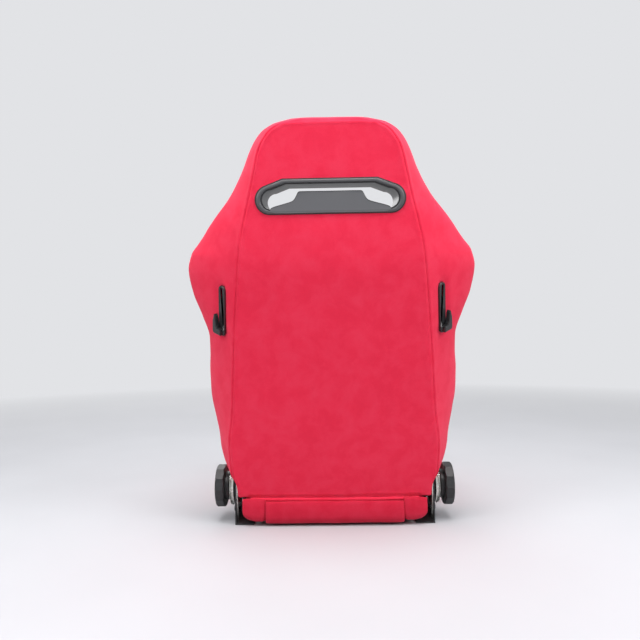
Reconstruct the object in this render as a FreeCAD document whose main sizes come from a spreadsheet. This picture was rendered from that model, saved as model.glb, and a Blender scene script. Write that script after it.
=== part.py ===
"""Reclining sports seat with integral headrest, padded and suede covered.

The seat faces -Y and its back faces +Y. The origin is the centre of the four foot bolts, on the floor plane.
Backrest pieces are drawn in the backrest's own frame: x across, y out of its rear, z up along it.
"""
import FreeCAD, Part
import math
import os
import Sketcher
from FreeCAD import Placement, Rotation, Vector

os.makedirs("parts", exist_ok=True)
doc = FreeCAD.newDocument("sports_seat")
LEFT = 1
RIGHT = -1
SIDES = {"left": LEFT, "right": RIGHT}
X_AXIS = Vector(1, 0, 0)
Y_AXIS = Vector(0, 1, 0)
Z_AXIS = Vector(0, 0, 1)

# Driving dimensions in millimetres and degrees
SIZES = [
    # Foot and side members
    ("sheet_wall", 2.5), ("member_inner_x", 209.5), ("member_front_y", -235), ("member_rear_reach", 40),
    ("member_top_z", 64), ("member_toe_z", 34), ("flange_inner_x", 172), ("bolt_span_x", 390),
    ("bolt_span_y", 300), ("bolt_hole_radius", 4.25), ("nut_across", 15), ("nut_height", 7),
    ("lightening_radius", 15), ("front_beam_y", -212), ("front_beam_depth", 30), ("front_beam_height", 22),
    ("rear_tube_offset", -85), ("rear_tube_z", 58), ("tube_radius", 11), ("tube_wall", 2),
    ("seat_spring_count", 3), ("seat_spring_pitch", 84), ("wire", 3.4), ("seat_spring_waves", 7),
    ("seat_spring_swing", 12),
    # Recliner stack on the pivot, from inside outwards
    ("pivot_y", 215), ("pivot_z", 75), ("ear_radius", 38), ("hub_radius", 14), ("hub_inner_x", 195),
    ("running_gap", 0.3), ("layer_gap", 0.5), ("arm_wall", 3), ("latch_wall", 3.6), ("latch_radius", 39),
    ("disc_wall", 5.5), ("disc_radius", 41), ("shaft_radius", 8), ("shaft_clearance", 0.08), ("dial_gap", 3),
    ("dial_collar_radius", 30), ("dial_collar_length", 7.8), ("dial_radius", 46), ("dial_width", 18.8),
    ("dial_flats", 12), ("dial_chamfer", 3), ("dial_dish_radius", 31), ("dial_dish_depth", 4),
    ("dial_cap_radius", 12), ("stop_pin_radius", 3.5), ("stop_pin_orbit", 28), ("fold_angle", 36),
    ("stop_pin_angle", 80), ("fitting_wall", 2.5), ("fitting_radius", 37), ("fitting_foot_half", 22),
    ("spring_wall", 1.4), ("spring_width", 8), ("spring_pitch", 5), ("spring_half_turns", 7),
    ("spring_pin_radius", 3), ("hex_across", 13), ("hex_height", 6.5), ("hex_shank", 4),
    ("side_bolt_drop", 49), ("side_bolt_forward", 120), ("side_bolt_z", 32),
    # Backrest frame
    ("lean", 18), ("frame_foot_v", 78), ("frame_neck_x", 145), ("frame_neck_drop", 177), ("frame_head_drop", 134),
    ("frame_top_x", 88), ("frame_top_drop", 67), ("frame_seat", 0.6),
    ("frame_bend", 30), ("split_w", -15), ("head_bend_v", 500), ("head_lean", 4.35), ("arm_top_v", 330),
    ("arm_rear_w", 10), ("arm_neck_v", 64),
    ("arm_eye_radius", 30), ("lower_beam_v", 112), ("lower_beam_height", 46), ("upper_beam_v", 408),
    ("upper_beam_height", 30), ("beam_depth", 16), ("back_spring_count", 3), ("back_spring_pitch", 92),
    ("back_spring_first_v", 190), ("back_spring_waves", 7), ("back_spring_swing", 14),
    # Backrest cover and cushions
    ("cover_wall", 8), ("panel_w", 48), ("panel_fold_v", 499), ("panel_top_w", 8), ("panel_crown", 4),
    ("back_top_v", 762), ("lip_half", 180),
    ("recliner_cut_radius", 42), ("recliner_cut_x", 190), ("lip_height", 9), ("lip_proud", 2.2),
    ("seam_gap", 0.4), ("insert_half", 148), ("insert_foot_v", 72), ("insert_top_v", 545),
    ("insert_crown", 9), ("insert_channels", 5), ("channel_sink", 6),
    # Head slot and its trim
    ("slot_v", 623.5), ("slot_tilt", 9.1), ("bezel_half", 139.6), ("bezel_rise", 32.5), ("bezel_flat", 88),
    ("bezel_end_radius", 27), ("slot_half", 126.5), ("slot_top", 22.5), ("slot_bottom", -23.5),
    ("slot_flat", 82), ("slot_end_radius", 18), ("bezel_proud", 4),
    ("head_depth", 106), ("head_rear", 1.1), ("liner_wall", 2.5), ("plate_wall", 3), ("plate_recess", 4),
    ("plate_top", 8.5),
    ("plate_top_half", 59), ("plate_shoulder", -7.5), ("plate_shoulder_half", 69), ("plate_end_half", 106),
    ("front_bezel_proud", 3),
    # Shoulder levers
    ("lever_slot_v", 404), ("lever_slot_length", 104), ("lever_slot_x", 213.5), ("lever_face_w", 22.1),
    ("face_turn", 46.5), ("face_tilt", 5.5), ("escutcheon_width", 20), ("escutcheon_wall", 3),
    ("lever_pivot_w", -70),
    ("lever_pivot_rise", 5), ("lever_plate_x", 213), ("lever_wall", 3), ("lever_boss", 9),
    ("lever_pin_radius", 4), ("grip_drop", 29), ("grip_height", 38), ("grip_reach", 18),
    ("grip_thickness", 9), ("grip_foot", 12),
    ("bracket_wall", 2.5), ("cable_radius", 2.5),
    ("latch_box_foot_v", 100), ("latch_box_top_v", 160), ("latch_box_width", 12), ("latch_box_depth", 6.5),
    ("latch_box_rear_w", -2), ("gland_radius", 3.2), ("gland_length", 8),
    # Seat cushion
    ("cushion_half", 134), ("cushion_rear_offset", -106), ("cushion_front_y", -288), ("cushion_base_z", 74.6),
    ("cushion_crown", 12), ("cushion_channels", 4),
    ("thigh_roll_y", -165), ("thigh_roll_z", 200), ("bolster_inner_x", 136), ("bolster_outer_x", 240),
    ("skirt_z", 15), ("cushion_clearance", 0.6), ("tail_half", 144), ("tail_rear", 61), ("tail_wall", 11),
    ("tail_top_z", 57), ("tail_bottom_z", 6), ("lobe_inner_x", 150), ("lobe_outer_x", 198), ("lobe_trim", 3),
]

sheet = doc.addObject("Spreadsheet::Sheet", "Sizes")
for row, (alias, value) in enumerate(SIZES, start=1):
    cell = f"A{row}"
    sheet.set(cell, str(value))
    sheet.setAlias(cell, alias)
doc.recompute()


def size(name):
    """Return one driving dimension from the sheet."""
    return float(sheet.get(name))


def value_of(expression):
    """Return the number that a sheet expression gives."""
    return float(sheet.evalExpression(str(expression)))


NODES = {}


def keep(name, piece, placement=None):
    """Label a finished sub-part, place it, and list it for export."""
    piece.Label = name
    if placement is not None:
        piece.Placement = placement
    NODES[name] = piece
    return piece


def solid_feature(name, shape, placement=None):
    """Hold a shape in the document as a named sub-part."""
    piece = doc.addObject("Part::Feature", name)
    piece.Shape = shape
    return keep(name, piece, placement)


def bind(piece, **properties):
    """Bind properties of an object to sheet expressions."""
    for key, expression in properties.items():
        piece.setExpression(key, expression)


def new_body(name):
    """Start a PartDesign body."""
    return doc.addObject("PartDesign::Body", name)


def sketch_on(body, role, name, offset="0"):
    """Attach a sketch to one of a body's origin planes, moved along its normal by an expression."""
    sketch = body.newObject("Sketcher::SketchObject", name)
    plane = next(o for o in body.Origin.OriginFeatures if o.Role == role)
    sketch.AttachmentSupport = [(plane, "")]
    sketch.MapMode = "FlatFace"
    sketch.setExpression(".AttachmentOffset.Base.z", offset)
    return sketch


def draw_outline(sketch, corners):
    """Draw a closed outline whose corners are pairs of sheet expressions, each tied to the origin."""
    points = [Vector(value_of(x), value_of(y), 0) for x, y in corners]
    first = sketch.GeometryCount
    count = len(points)
    for i, start in enumerate(points):
        sketch.addGeometry(Part.LineSegment(start, points[(i + 1) % count]), False)
    for i in range(count):
        following = first + (i + 1) % count
        sketch.addConstraint(Sketcher.Constraint("Coincident", first + i, 2, following, 1))
    for i, (x, y) in enumerate(corners):
        for kind, expression, number in (("DistanceX", x, points[i].x), ("DistanceY", y, points[i].y)):
            index = sketch.addConstraint(Sketcher.Constraint(kind, -1, 1, first + i, 1, number))
            sketch.setExpression(f"Constraints[{index}]", expression)


def draw_circle(sketch, x, y, radius):
    """Draw a circle whose centre and radius are sheet expressions."""
    centre = Vector(value_of(x), value_of(y), 0)
    index = sketch.addGeometry(Part.Circle(centre, Z_AXIS, value_of(radius)), False)
    for kind, expression, number in (("DistanceX", x, centre.x), ("DistanceY", y, centre.y)):
        row = sketch.addConstraint(Sketcher.Constraint(kind, -1, 1, index, 3, number))
        sketch.setExpression(f"Constraints[{row}]", expression)
    row = sketch.addConstraint(Sketcher.Constraint("Radius", index, value_of(radius)))
    sketch.setExpression(f"Constraints[{row}]", radius)


def pad(body, sketch, length):
    """Pad a sketch along its normal by an expression."""
    feature = body.newObject("PartDesign::Pad", f"{sketch.Name}_pad")
    feature.Profile = sketch
    feature.setExpression("Length", length)
    doc.recompute()
    return feature


def cut_through(body, sketch):
    """Pocket a sketch through the whole body, both ways, and check that it removes something."""
    before = body.Shape.Volume
    feature = body.newObject("PartDesign::Pocket", f"{sketch.Name}_pocket")
    feature.Profile = sketch
    feature.Type = "ThroughAll"
    feature.Midplane = True
    doc.recompute()
    if body.Shape.Volume >= before:
        raise ValueError(f"{sketch.Name} cuts nothing")
    return feature


def round_edges(body, direction, radius, chosen=lambda edge: True):
    """Fillet the straight edges of a body that run along a direction."""
    base = body.Tip
    names = []
    for i, edge in enumerate(base.Shape.Edges, start=1):
        if not isinstance(edge.Curve, Part.Line):
            continue
        if abs(abs(edge.tangentAt(edge.FirstParameter).dot(direction)) - 1) < 1e-6 and chosen(edge):
            names.append(f"Edge{i}")
    feature = body.newObject("PartDesign::Fillet", f"{body.Name}_fillet")
    feature.Base = (base, names)
    feature.setExpression("Radius", radius)
    doc.recompute()
    return feature


def mirrored(shape, side):
    """Return a shape drawn for the left side, mirrored across x = 0 for the right one."""
    if side == LEFT:
        return shape
    return shape.mirror(Vector(), X_AXIS)


def wire_of(points):
    """Return a closed wire of straight lines."""
    return Part.makePolygon(list(points) + [points[0]])


def prism(points, along):
    """Extrude a closed polygon of points along a vector."""
    return Part.Face(wire_of(points)).extrude(along)


def block(low, high):
    """Return a box between two corners."""
    span = high - low
    return Part.makeBox(span.x, span.y, span.z, low)


def cylinder_x(radius, low_x, high_x, y, z):
    """Return a cylinder along X."""
    return Part.makeCylinder(radius, high_x - low_x, Vector(low_x, y, z), X_AXIS)


def ring_x(outer, inner, low_x, high_x, y, z):
    """Return a tube along X."""
    return cylinder_x(outer, low_x, high_x, y, z).cut(cylinder_x(inner, low_x, high_x, y, z))


def rounded_path(points, radius):
    """Join points by straight runs with a tangent arc at each inner corner."""
    edges = []
    start = points[0]
    for before, corner, after in zip(points, points[1:], points[2:]):
        back = (before - corner).normalize()
        ahead = (after - corner).normalize()
        half = math.acos(max(-1.0, min(1.0, back.dot(ahead)))) / 2
        setback = radius / math.tan(half)
        enter = corner + back * setback
        leave = corner + ahead * setback
        inward = (back + ahead).normalize()
        middle = corner + inward * (radius / math.sin(half) - radius)
        edges.append(Part.LineSegment(start, enter).toShape())
        edges.append(Part.Arc(enter, middle, leave).toShape())
        start = leave
    edges.append(Part.LineSegment(start, points[-1]).toShape())
    return Part.Wire(edges)


def tube_along(path, radius):
    """Sweep a round section along a path of runs and tangent arcs."""
    edge = path.Edges[0]
    start = edge.valueAt(edge.FirstParameter)
    direction = edge.tangentAt(edge.FirstParameter)
    section = Part.Wire(Part.makeCircle(radius, start, direction))
    return path.makePipeShell([section], True, False)


def hexagon(across, height, base, direction):
    """Return a hexagonal prism standing on a point."""
    corner = across / 2 / math.cos(math.pi / 6)
    points = [Vector(corner * math.cos(k * math.pi / 3), corner * math.sin(k * math.pi / 3), 0)
              for k in range(6)]
    shape = prism(points, Vector(0, 0, height))
    shape.Placement = Placement(base, Rotation(Z_AXIS, direction))
    return shape


def hex_bolt(head_base, direction, reach):
    """Return a hexagon head bolt whose shank runs back from under its head."""
    head = hexagon(size("hex_across"), size("hex_height"), head_base, direction)
    shank = Part.makeCylinder(size("hex_shank"), reach, head_base - direction * reach, direction)
    return head.fuse(shank)


PIVOT = Vector(0, size("pivot_y"), size("pivot_z"))
BACK = Placement(PIVOT, Rotation(X_AXIS, -size("lean")))
MEMBER_OUTER = size("member_inner_x") + size("sheet_wall")
ARM_INNER = MEMBER_OUTER + size("layer_gap")
ARM_OUTER = ARM_INNER + size("arm_wall")
LATCH_INNER = ARM_OUTER + size("layer_gap")
LATCH_OUTER = LATCH_INNER + size("latch_wall")
DISC_OUTER = LATCH_OUTER + size("disc_wall")
DIAL_INNER = DISC_OUTER + size("dial_gap")
RIM_INNER = DIAL_INNER + size("dial_collar_length")
FITTING_INNER = size("member_inner_x") - size("fitting_wall")
FRAME_X = ARM_INNER - size("tube_radius")


def side_member(name, side):
    """Pressed side member: a web with the recliner ear at its rear and a foot flange with two bolt holes."""
    body = new_body(name)
    web_x = "Sizes.member_inner_x" if side == LEFT else "-Sizes.member_inner_x - Sizes.sheet_wall"
    web = sketch_on(body, "YZ_Plane", f"{name}_web", web_x)
    rear = "Sizes.pivot_y + Sizes.member_rear_reach"
    ear_top = "Sizes.pivot_z + Sizes.ear_radius"
    draw_outline(web, [
        ("Sizes.member_front_y", "0"),
        (rear, "0"),
        (rear, "Sizes.pivot_z"),
        ("Sizes.pivot_y + Sizes.ear_radius * 0.42", ear_top),
        ("Sizes.pivot_y - Sizes.ear_radius * 0.42", ear_top),
        ("Sizes.pivot_y - Sizes.ear_radius", "Sizes.pivot_z + Sizes.ear_radius * 0.3"),
        ("Sizes.pivot_y - Sizes.ear_radius * 1.9", "Sizes.member_top_z"),
        ("Sizes.member_front_y + Sizes.member_toe_z", "Sizes.member_top_z"),
        ("Sizes.member_front_y", "Sizes.member_toe_z"),
    ])
    pad(body, web, "Sizes.sheet_wall")
    flange = sketch_on(body, "XY_Plane", f"{name}_flange")
    draw_outline(flange, [
        (f"{side} * Sizes.flange_inner_x", "Sizes.member_front_y"),
        (f"{side} * Sizes.member_inner_x", "Sizes.member_front_y"),
        (f"{side} * Sizes.member_inner_x", rear),
        (f"{side} * Sizes.flange_inner_x", rear),
    ])
    pad(body, flange, "Sizes.sheet_wall")
    holes = sketch_on(body, "XY_Plane", f"{name}_bolt_holes")
    for end in (-1, 1):
        draw_circle(holes, f"{side} * Sizes.bolt_span_x / 2", f"{end} * Sizes.bolt_span_y / 2",
                    "Sizes.bolt_hole_radius")
    cut_through(body, holes)
    openings = sketch_on(body, "YZ_Plane", f"{name}_openings", web_x)
    draw_circle(openings, "Sizes.pivot_y", "Sizes.pivot_z", "Sizes.hub_radius + Sizes.running_gap")
    for step in (-1.15, -0.38, 0.38, 1.15):
        draw_circle(openings, f"{step} * Sizes.bolt_span_y / 2 - 20", "Sizes.member_top_z / 2",
                    "Sizes.lightening_radius")
    draw_circle(openings, "Sizes.pivot_y", "Sizes.pivot_z - Sizes.side_bolt_drop", "Sizes.hex_shank")
    draw_circle(openings, "Sizes.pivot_y - Sizes.side_bolt_forward", "Sizes.side_bolt_z", "Sizes.hex_shank")
    cut_through(body, openings)
    return keep(name, body)


def mount_nuts():
    """Four weld nuts on the foot flanges, open for the foot bolts."""
    nuts = []
    for x in (-1, 1):
        for y in (-1, 1):
            base = Vector(x * size("bolt_span_x") / 2, y * size("bolt_span_y") / 2, size("sheet_wall"))
            nut = hexagon(size("nut_across"), size("nut_height"), base, Z_AXIS)
            nuts.append(nut.cut(Part.makeCylinder(size("bolt_hole_radius"), size("nut_height"), base)))
    return solid_feature("mount_weld_nuts", Part.makeCompound(nuts))


def front_beam():
    """Front cross member: a channel between the side members, open below."""
    body = new_body("front_cross_member")
    profile = sketch_on(body, "YZ_Plane", "front_beam_profile", "-Sizes.member_inner_x")
    front = "Sizes.front_beam_y - Sizes.front_beam_depth / 2"
    rear = "Sizes.front_beam_y + Sizes.front_beam_depth / 2"
    top = "Sizes.cushion_base_z - Sizes.wire - 0.6"
    foot = f"{top} - Sizes.front_beam_height"
    wall = "Sizes.sheet_wall"
    draw_outline(profile, [
        (front, foot), (f"{front} + {wall}", foot), (f"{front} + {wall}", f"{top} - {wall}"),
        (f"{rear} - {wall}", f"{top} - {wall}"), (f"{rear} - {wall}", foot), (rear, foot),
        (rear, top), (front, top),
    ])
    pad(body, profile, "2 * Sizes.member_inner_x")
    return keep("front_cross_member", body)


def rear_tube():
    """Rear cross tube between the side members, with its bore."""
    bar = doc.addObject("Part::Cylinder", "rear_tube_bar")
    bore = doc.addObject("Part::Cylinder", "rear_tube_bore")
    tube = doc.addObject("Part::Cut", "rear_cross_tube")
    bind(bar, Radius="Sizes.tube_radius", Height="2 * Sizes.member_inner_x")
    bind(bore, Radius="Sizes.tube_radius - Sizes.tube_wall", Height="2 * Sizes.member_inner_x")
    tube.Base = bar
    tube.Tool = bore
    start = Vector(-size("member_inner_x"), size("pivot_y") + size("rear_tube_offset"), size("rear_tube_z"))
    return keep("rear_cross_tube", tube, Placement(start, Rotation(Z_AXIS, X_AXIS)))


def zigzag(length, swing, waves, wire):
    """Return a flat sinuous spring of square wire along +Y, centred on x = 0, lying on z = 0.

    Each bend is a half turn about a point on its line of bends, so the wire stays one width throughout.
    """
    pitch = length / waves
    turn = pitch / 2
    outer = []
    inner = []
    for k in range(waves):
        side = 1 if k % 2 == 0 else -1
        centre = Vector(side * swing, (k + 0.5) * pitch, 0)
        for edges, radius in ((outer, turn + side * wire / 2), (inner, turn - side * wire / 2)):
            low = centre - Y_AXIS * radius
            high = centre + Y_AXIS * radius
            if edges:
                edges.append(Part.LineSegment(edges[-1].Vertexes[-1].Point, low).toShape())
            edges.append(Part.Arc(low, centre + X_AXIS * (side * radius), high).toShape())
    first = Part.LineSegment(inner[0].Vertexes[0].Point, outer[0].Vertexes[0].Point).toShape()
    last = Part.LineSegment(outer[-1].Vertexes[-1].Point, inner[-1].Vertexes[-1].Point).toShape()
    face = Part.Face(Part.Wire(Part.__sortEdges__(outer + inner + [first, last])))
    return face.extrude(Vector(0, 0, wire))


def seat_springs():
    """Sinuous springs from the rear cross tube to the front cross member."""
    count = int(size("seat_spring_count"))
    front = size("front_beam_y")
    rear = size("pivot_y") + size("rear_tube_offset")
    spring = zigzag(rear - front, size("seat_spring_swing"), int(size("seat_spring_waves")), size("wire"))
    springs = []
    for k in range(count):
        x = (k - (count - 1) / 2) * size("seat_spring_pitch")
        copy = spring.copy()
        copy.translate(Vector(x, front, size("cushion_base_z") - size("wire") - 0.3))
        springs.append(copy)
    return solid_feature("seat_springs", Part.makeCompound(springs))


def fitting_plate(name, side):
    """Lower recliner fitting: a plate behind the side member's ear, with its helper spring pin."""
    body = new_body(name)
    low_x = "Sizes.member_inner_x - Sizes.fitting_wall" if side == LEFT else "-Sizes.member_inner_x"
    outline = sketch_on(body, "YZ_Plane", f"{name}_outline", low_x)
    half = "Sizes.fitting_foot_half"
    wide = "Sizes.fitting_radius"
    draw_outline(outline, [
        (f"Sizes.pivot_y - {half}", "Sizes.sheet_wall"), (f"Sizes.pivot_y + {half}", "Sizes.sheet_wall"),
        (f"Sizes.pivot_y + {wide}", f"Sizes.pivot_z - {wide} * 0.4"),
        (f"Sizes.pivot_y + {wide}", f"Sizes.pivot_z + {wide} * 0.4"),
        (f"Sizes.pivot_y + {wide} * 0.4", f"Sizes.pivot_z + {wide}"),
        (f"Sizes.pivot_y - {wide} * 0.4", f"Sizes.pivot_z + {wide}"),
        (f"Sizes.pivot_y - {wide}", f"Sizes.pivot_z + {wide} * 0.4"),
        (f"Sizes.pivot_y - {wide}", f"Sizes.pivot_z - {wide} * 0.4"),
    ])
    pad(body, outline, "Sizes.fitting_wall")
    eye = sketch_on(body, "YZ_Plane", f"{name}_eye", low_x)
    draw_circle(eye, "Sizes.pivot_y", "Sizes.pivot_z", "Sizes.hub_radius + Sizes.running_gap")
    draw_circle(eye, "Sizes.pivot_y", "Sizes.pivot_z - Sizes.side_bolt_drop", "Sizes.hex_shank")
    cut_through(body, eye)
    return keep(name, body)


def spring_radii():
    """Return the mean radius of each half turn of the helper spring, from the hub outwards."""
    first = size("hub_radius") + size("spring_wall") / 2 + 0.1
    step = size("spring_pitch") / 2
    return [first + k * step for k in range(int(size("spring_half_turns")))]


def helper_spring(name, side):
    """Flat spiral spring wound from the hub out to its pin, in half turns about two centres."""
    wall = size("spring_wall")
    step = size("spring_pitch") / 2
    low_x = size("hub_inner_x") + 1 if side == LEFT else -size("hub_inner_x") - 1 - size("spring_width")
    outer = []
    inner = []
    for k, radius in enumerate(spring_radii()):
        side_sign = 1 if k % 2 == 0 else -1
        centre = PIVOT - Y_AXIS * (step if k % 2 else 0)
        centre = Vector(low_x, centre.y, centre.z)
        for edges, r in ((outer, radius + wall / 2), (inner, radius - wall / 2)):
            start = centre - Y_AXIS * (side_sign * r)
            middle = centre + Z_AXIS * (side_sign * r)
            end = centre + Y_AXIS * (side_sign * r)
            edges.append(Part.Arc(start, middle, end).toShape())
    first = Part.LineSegment(inner[0].Vertexes[0].Point, outer[0].Vertexes[0].Point).toShape()
    last = Part.LineSegment(outer[-1].Vertexes[-1].Point, inner[-1].Vertexes[-1].Point).toShape()
    face = Part.Face(Part.Wire(Part.__sortEdges__(outer + inner + [first, last])))
    print(name, "gap between turns", round(size("spring_pitch") - wall, 2))
    return solid_feature(name, face.extrude(X_AXIS * size("spring_width")))


def spring_pins():
    """Pins of the lower fittings that hold the outer ends of the helper springs."""
    reach = spring_radii()[-1] + size("spring_wall") / 2 + size("spring_pin_radius") + 0.1
    pins = []
    for side in (LEFT, RIGHT):
        low, high = sorted((side * (size("hub_inner_x") + 1), side * FITTING_INNER))
        pins.append(cylinder_x(size("spring_pin_radius"), low, high,
                               PIVOT.y + reach, PIVOT.z))
    return solid_feature("spring_pins", Part.makeCompound(pins))


def side_bolts():
    """Black hexagon bolts that fasten each lower fitting and brace its side member."""
    bolts = []
    for side in (LEFT, RIGHT):
        head = Vector(side * MEMBER_OUTER, PIVOT.y, PIVOT.z - size("side_bolt_drop"))
        bolts.append(hex_bolt(head, X_AXIS * side, size("sheet_wall") + size("fitting_wall") + 3))
        forward = Vector(side * MEMBER_OUTER, PIVOT.y - size("side_bolt_forward"), size("side_bolt_z"))
        bolts.append(hex_bolt(forward, X_AXIS * side, size("sheet_wall") + 3))
    return solid_feature("side_bolts", Part.makeCompound(bolts))


for side_name, sign in SIDES.items():
    side_member(f"side_member_{side_name}", sign)
    fitting_plate(f"recliner_fitting_{side_name}", sign)
    helper_spring(f"helper_spring_{side_name}", sign)
mount_nuts()
front_beam()
rear_tube()
seat_springs()
spring_pins()
side_bolts()


def hub(name, side):
    """Hub tube that carries the backrest and turns in the side member, bored for the dial shaft."""
    low, high = sorted((side * size("hub_inner_x"), side * LATCH_OUTER))
    bore = size("shaft_radius") + size("shaft_clearance")
    return solid_feature(name, ring_x(size("hub_radius"), bore, low, high, PIVOT.y, PIVOT.z))


def latch_plate(name, side):
    """Round latch plate on the hub, with the arc slot that stops the fold and a notched rim."""
    low, high = sorted((side * LATCH_INNER, side * LATCH_OUTER))
    plate = ring_x(size("latch_radius"), size("hub_radius"), low, high, PIVOT.y, PIVOT.z)
    pin = size("stop_pin_radius") + size("running_gap")
    orbit = size("stop_pin_orbit")
    start = Placement(PIVOT, Rotation(X_AXIS, size("stop_pin_angle") - size("lean")))
    sector = ring_x(orbit + pin, orbit - pin, low, high, 0, 0)
    angle = math.radians(size("fold_angle"))
    far = size("latch_radius") * 2
    wedge = prism([Vector(low, 0, 0), Vector(low, far, 0),
                   Vector(low, far * math.cos(angle), far * math.sin(angle))], X_AXIS * (high - low))
    slot = sector.common(wedge)
    for turn in (0, angle):
        end = Vector(low, orbit * math.cos(turn), orbit * math.sin(turn))
        slot = slot.fuse(cylinder_x(pin, low, high, end.y, end.z))
    slot.Placement = start
    plate = plate.cut(slot)
    for k in range(3):
        turn = math.radians(150 + 28 * k)
        rim = size("latch_radius")
        notch = cylinder_x(3, low, high, PIVOT.y + rim * math.cos(turn), PIVOT.z + rim * math.sin(turn))
        plate = plate.cut(notch)
    return solid_feature(name, plate.removeSplitter())


def cover_disc(name, side):
    """Bright domed disc over the latch plate, pressed with a raised ring and open at the shaft."""
    rim = size("disc_radius")
    wall = size("disc_wall")
    bore = size("shaft_radius") + size("running_gap")
    profile = [
        Vector(bore, 0, 0), Vector(rim, 0, 0), Vector(rim, 0, wall * 0.45),
        Vector(rim * 0.86, 0, wall * 0.62), Vector(rim * 0.62, 0, wall * 0.62),
        Vector(rim * 0.54, 0, wall), Vector(bore, 0, wall),
    ]
    disc = Part.Face(wire_of(profile)).revolve(Vector(), Z_AXIS, 360)
    base = Vector(side * LATCH_OUTER, PIVOT.y, PIVOT.z)
    return solid_feature(name, disc, Placement(base, Rotation(Z_AXIS, X_AXIS * side)))


def dial(name, side):
    """Recliner dial: a collar and a flat-sided grip with bevelled edges, a dished face and a cap."""
    flats = int(size("dial_flats"))
    rim = size("dial_radius")
    width = size("dial_width")
    collar_length = size("dial_collar_length")
    corners = [Vector(rim * math.cos(2 * math.pi * k / flats), rim * math.sin(2 * math.pi * k / flats),
                      collar_length) for k in range(flats)]
    grip = prism(corners, Z_AXIS * width)
    bevel = size("dial_chamfer")
    top = collar_length + width
    lens = Part.Face(wire_of([
        Vector(0, 0, collar_length), Vector(rim - bevel, 0, collar_length),
        Vector(rim, 0, collar_length + bevel), Vector(rim, 0, top - bevel), Vector(rim - bevel, 0, top),
        Vector(0, 0, top),
    ])).revolve(Vector(), Z_AXIS, 360)
    grip = grip.common(lens)
    grip = grip.fuse(Part.makeCylinder(size("dial_collar_radius"), collar_length))
    dish = Part.makeCone(size("dial_dish_radius") - size("dial_dish_depth"), size("dial_dish_radius"),
                         size("dial_dish_depth"), Vector(0, 0, top - size("dial_dish_depth")))
    cap = Part.makeCylinder(size("dial_cap_radius"), size("dial_dish_depth") * 0.6,
                            Vector(0, 0, top - size("dial_dish_depth")))
    socket = Part.makeCylinder(size("shaft_radius"), collar_length)
    shape = grip.cut(dish).fuse(cap).cut(socket).removeSplitter()
    base = Vector(side * DIAL_INNER, PIVOT.y, PIVOT.z)
    return solid_feature(name, shape, Placement(base, Rotation(Z_AXIS, X_AXIS * side)))


def dial_shaft():
    """Shaft that couples both dials through the hubs."""
    shaft = doc.addObject("Part::Cylinder", "synchronising_shaft")
    reach = DIAL_INNER + size("dial_collar_length")
    bind(shaft, Radius="Sizes.shaft_radius")
    shaft.Height = 2 * reach
    place = Placement(Vector(-reach, PIVOT.y, PIVOT.z), Rotation(Z_AXIS, X_AXIS))
    return keep("synchronising_shaft", shaft, place)


for side_name, sign in SIDES.items():
    hub(f"recliner_hub_{side_name}", sign)
    latch_plate(f"latch_plate_{side_name}", sign)
    cover_disc(f"recliner_disc_{side_name}", sign)
    dial(f"recline_dial_{side_name}", sign)
dial_shaft()


def split_plane(v):
    """Return the w of the plane between the rear cover and the front cushions at a height."""
    rise = max(0.0, v - size("head_bend_v"))
    return size("split_w") - rise * math.tan(math.radians(size("head_lean")))


def rear_plane(v):
    """Return the w of the rear panel at a height: upright, then sloping forward over the head."""
    fold = size("panel_fold_v")
    slope = (size("panel_w") - size("panel_top_w")) / (size("back_top_v") - fold)
    return size("panel_w") - max(0.0, v - fold) * slope


def front_space():
    """Return the space in front of the split plane, which the front cushions fill."""
    wide = 2 * size("bolster_outer_x")
    bend = size("head_bend_v")
    above = size("back_top_v") + 20
    profile = [
        Vector(-wide, split_plane(0), -60), Vector(-wide, split_plane(bend), bend),
        Vector(-wide, split_plane(above), above), Vector(-wide, -wide, above), Vector(-wide, -wide, -60),
    ]
    return prism(profile, X_AXIS * (2 * wide))


def back_frame():
    """Bent tube of the backrest: up both sides, in at the neck and round above the head slot."""
    radius = size("tube_radius")
    top = size("back_top_v")
    stations = [
        (FRAME_X, size("frame_foot_v")), (FRAME_X, size("head_bend_v")),
        (size("frame_neck_x"), top - size("frame_neck_drop")),
        (size("frame_neck_x"), top - size("frame_head_drop")),
        (size("frame_top_x"), top - size("frame_top_drop")),
    ]
    left = [Vector(x, split_plane(v) + radius + size("frame_seat"), v) for x, v in stations]
    right = [Vector(-p.x, p.y, p.z) for p in reversed(left)]
    path = rounded_path(left + right, size("frame_bend"))
    outer = tube_along(path, radius)
    inner = tube_along(path, radius - size("tube_wall"))
    expected = math.pi * radius ** 2 * path.Length
    print("back frame volume over section times length", round(outer.Volume / expected, 4))
    return solid_feature("back_frame_tube", outer.cut(inner), BACK)


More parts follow.
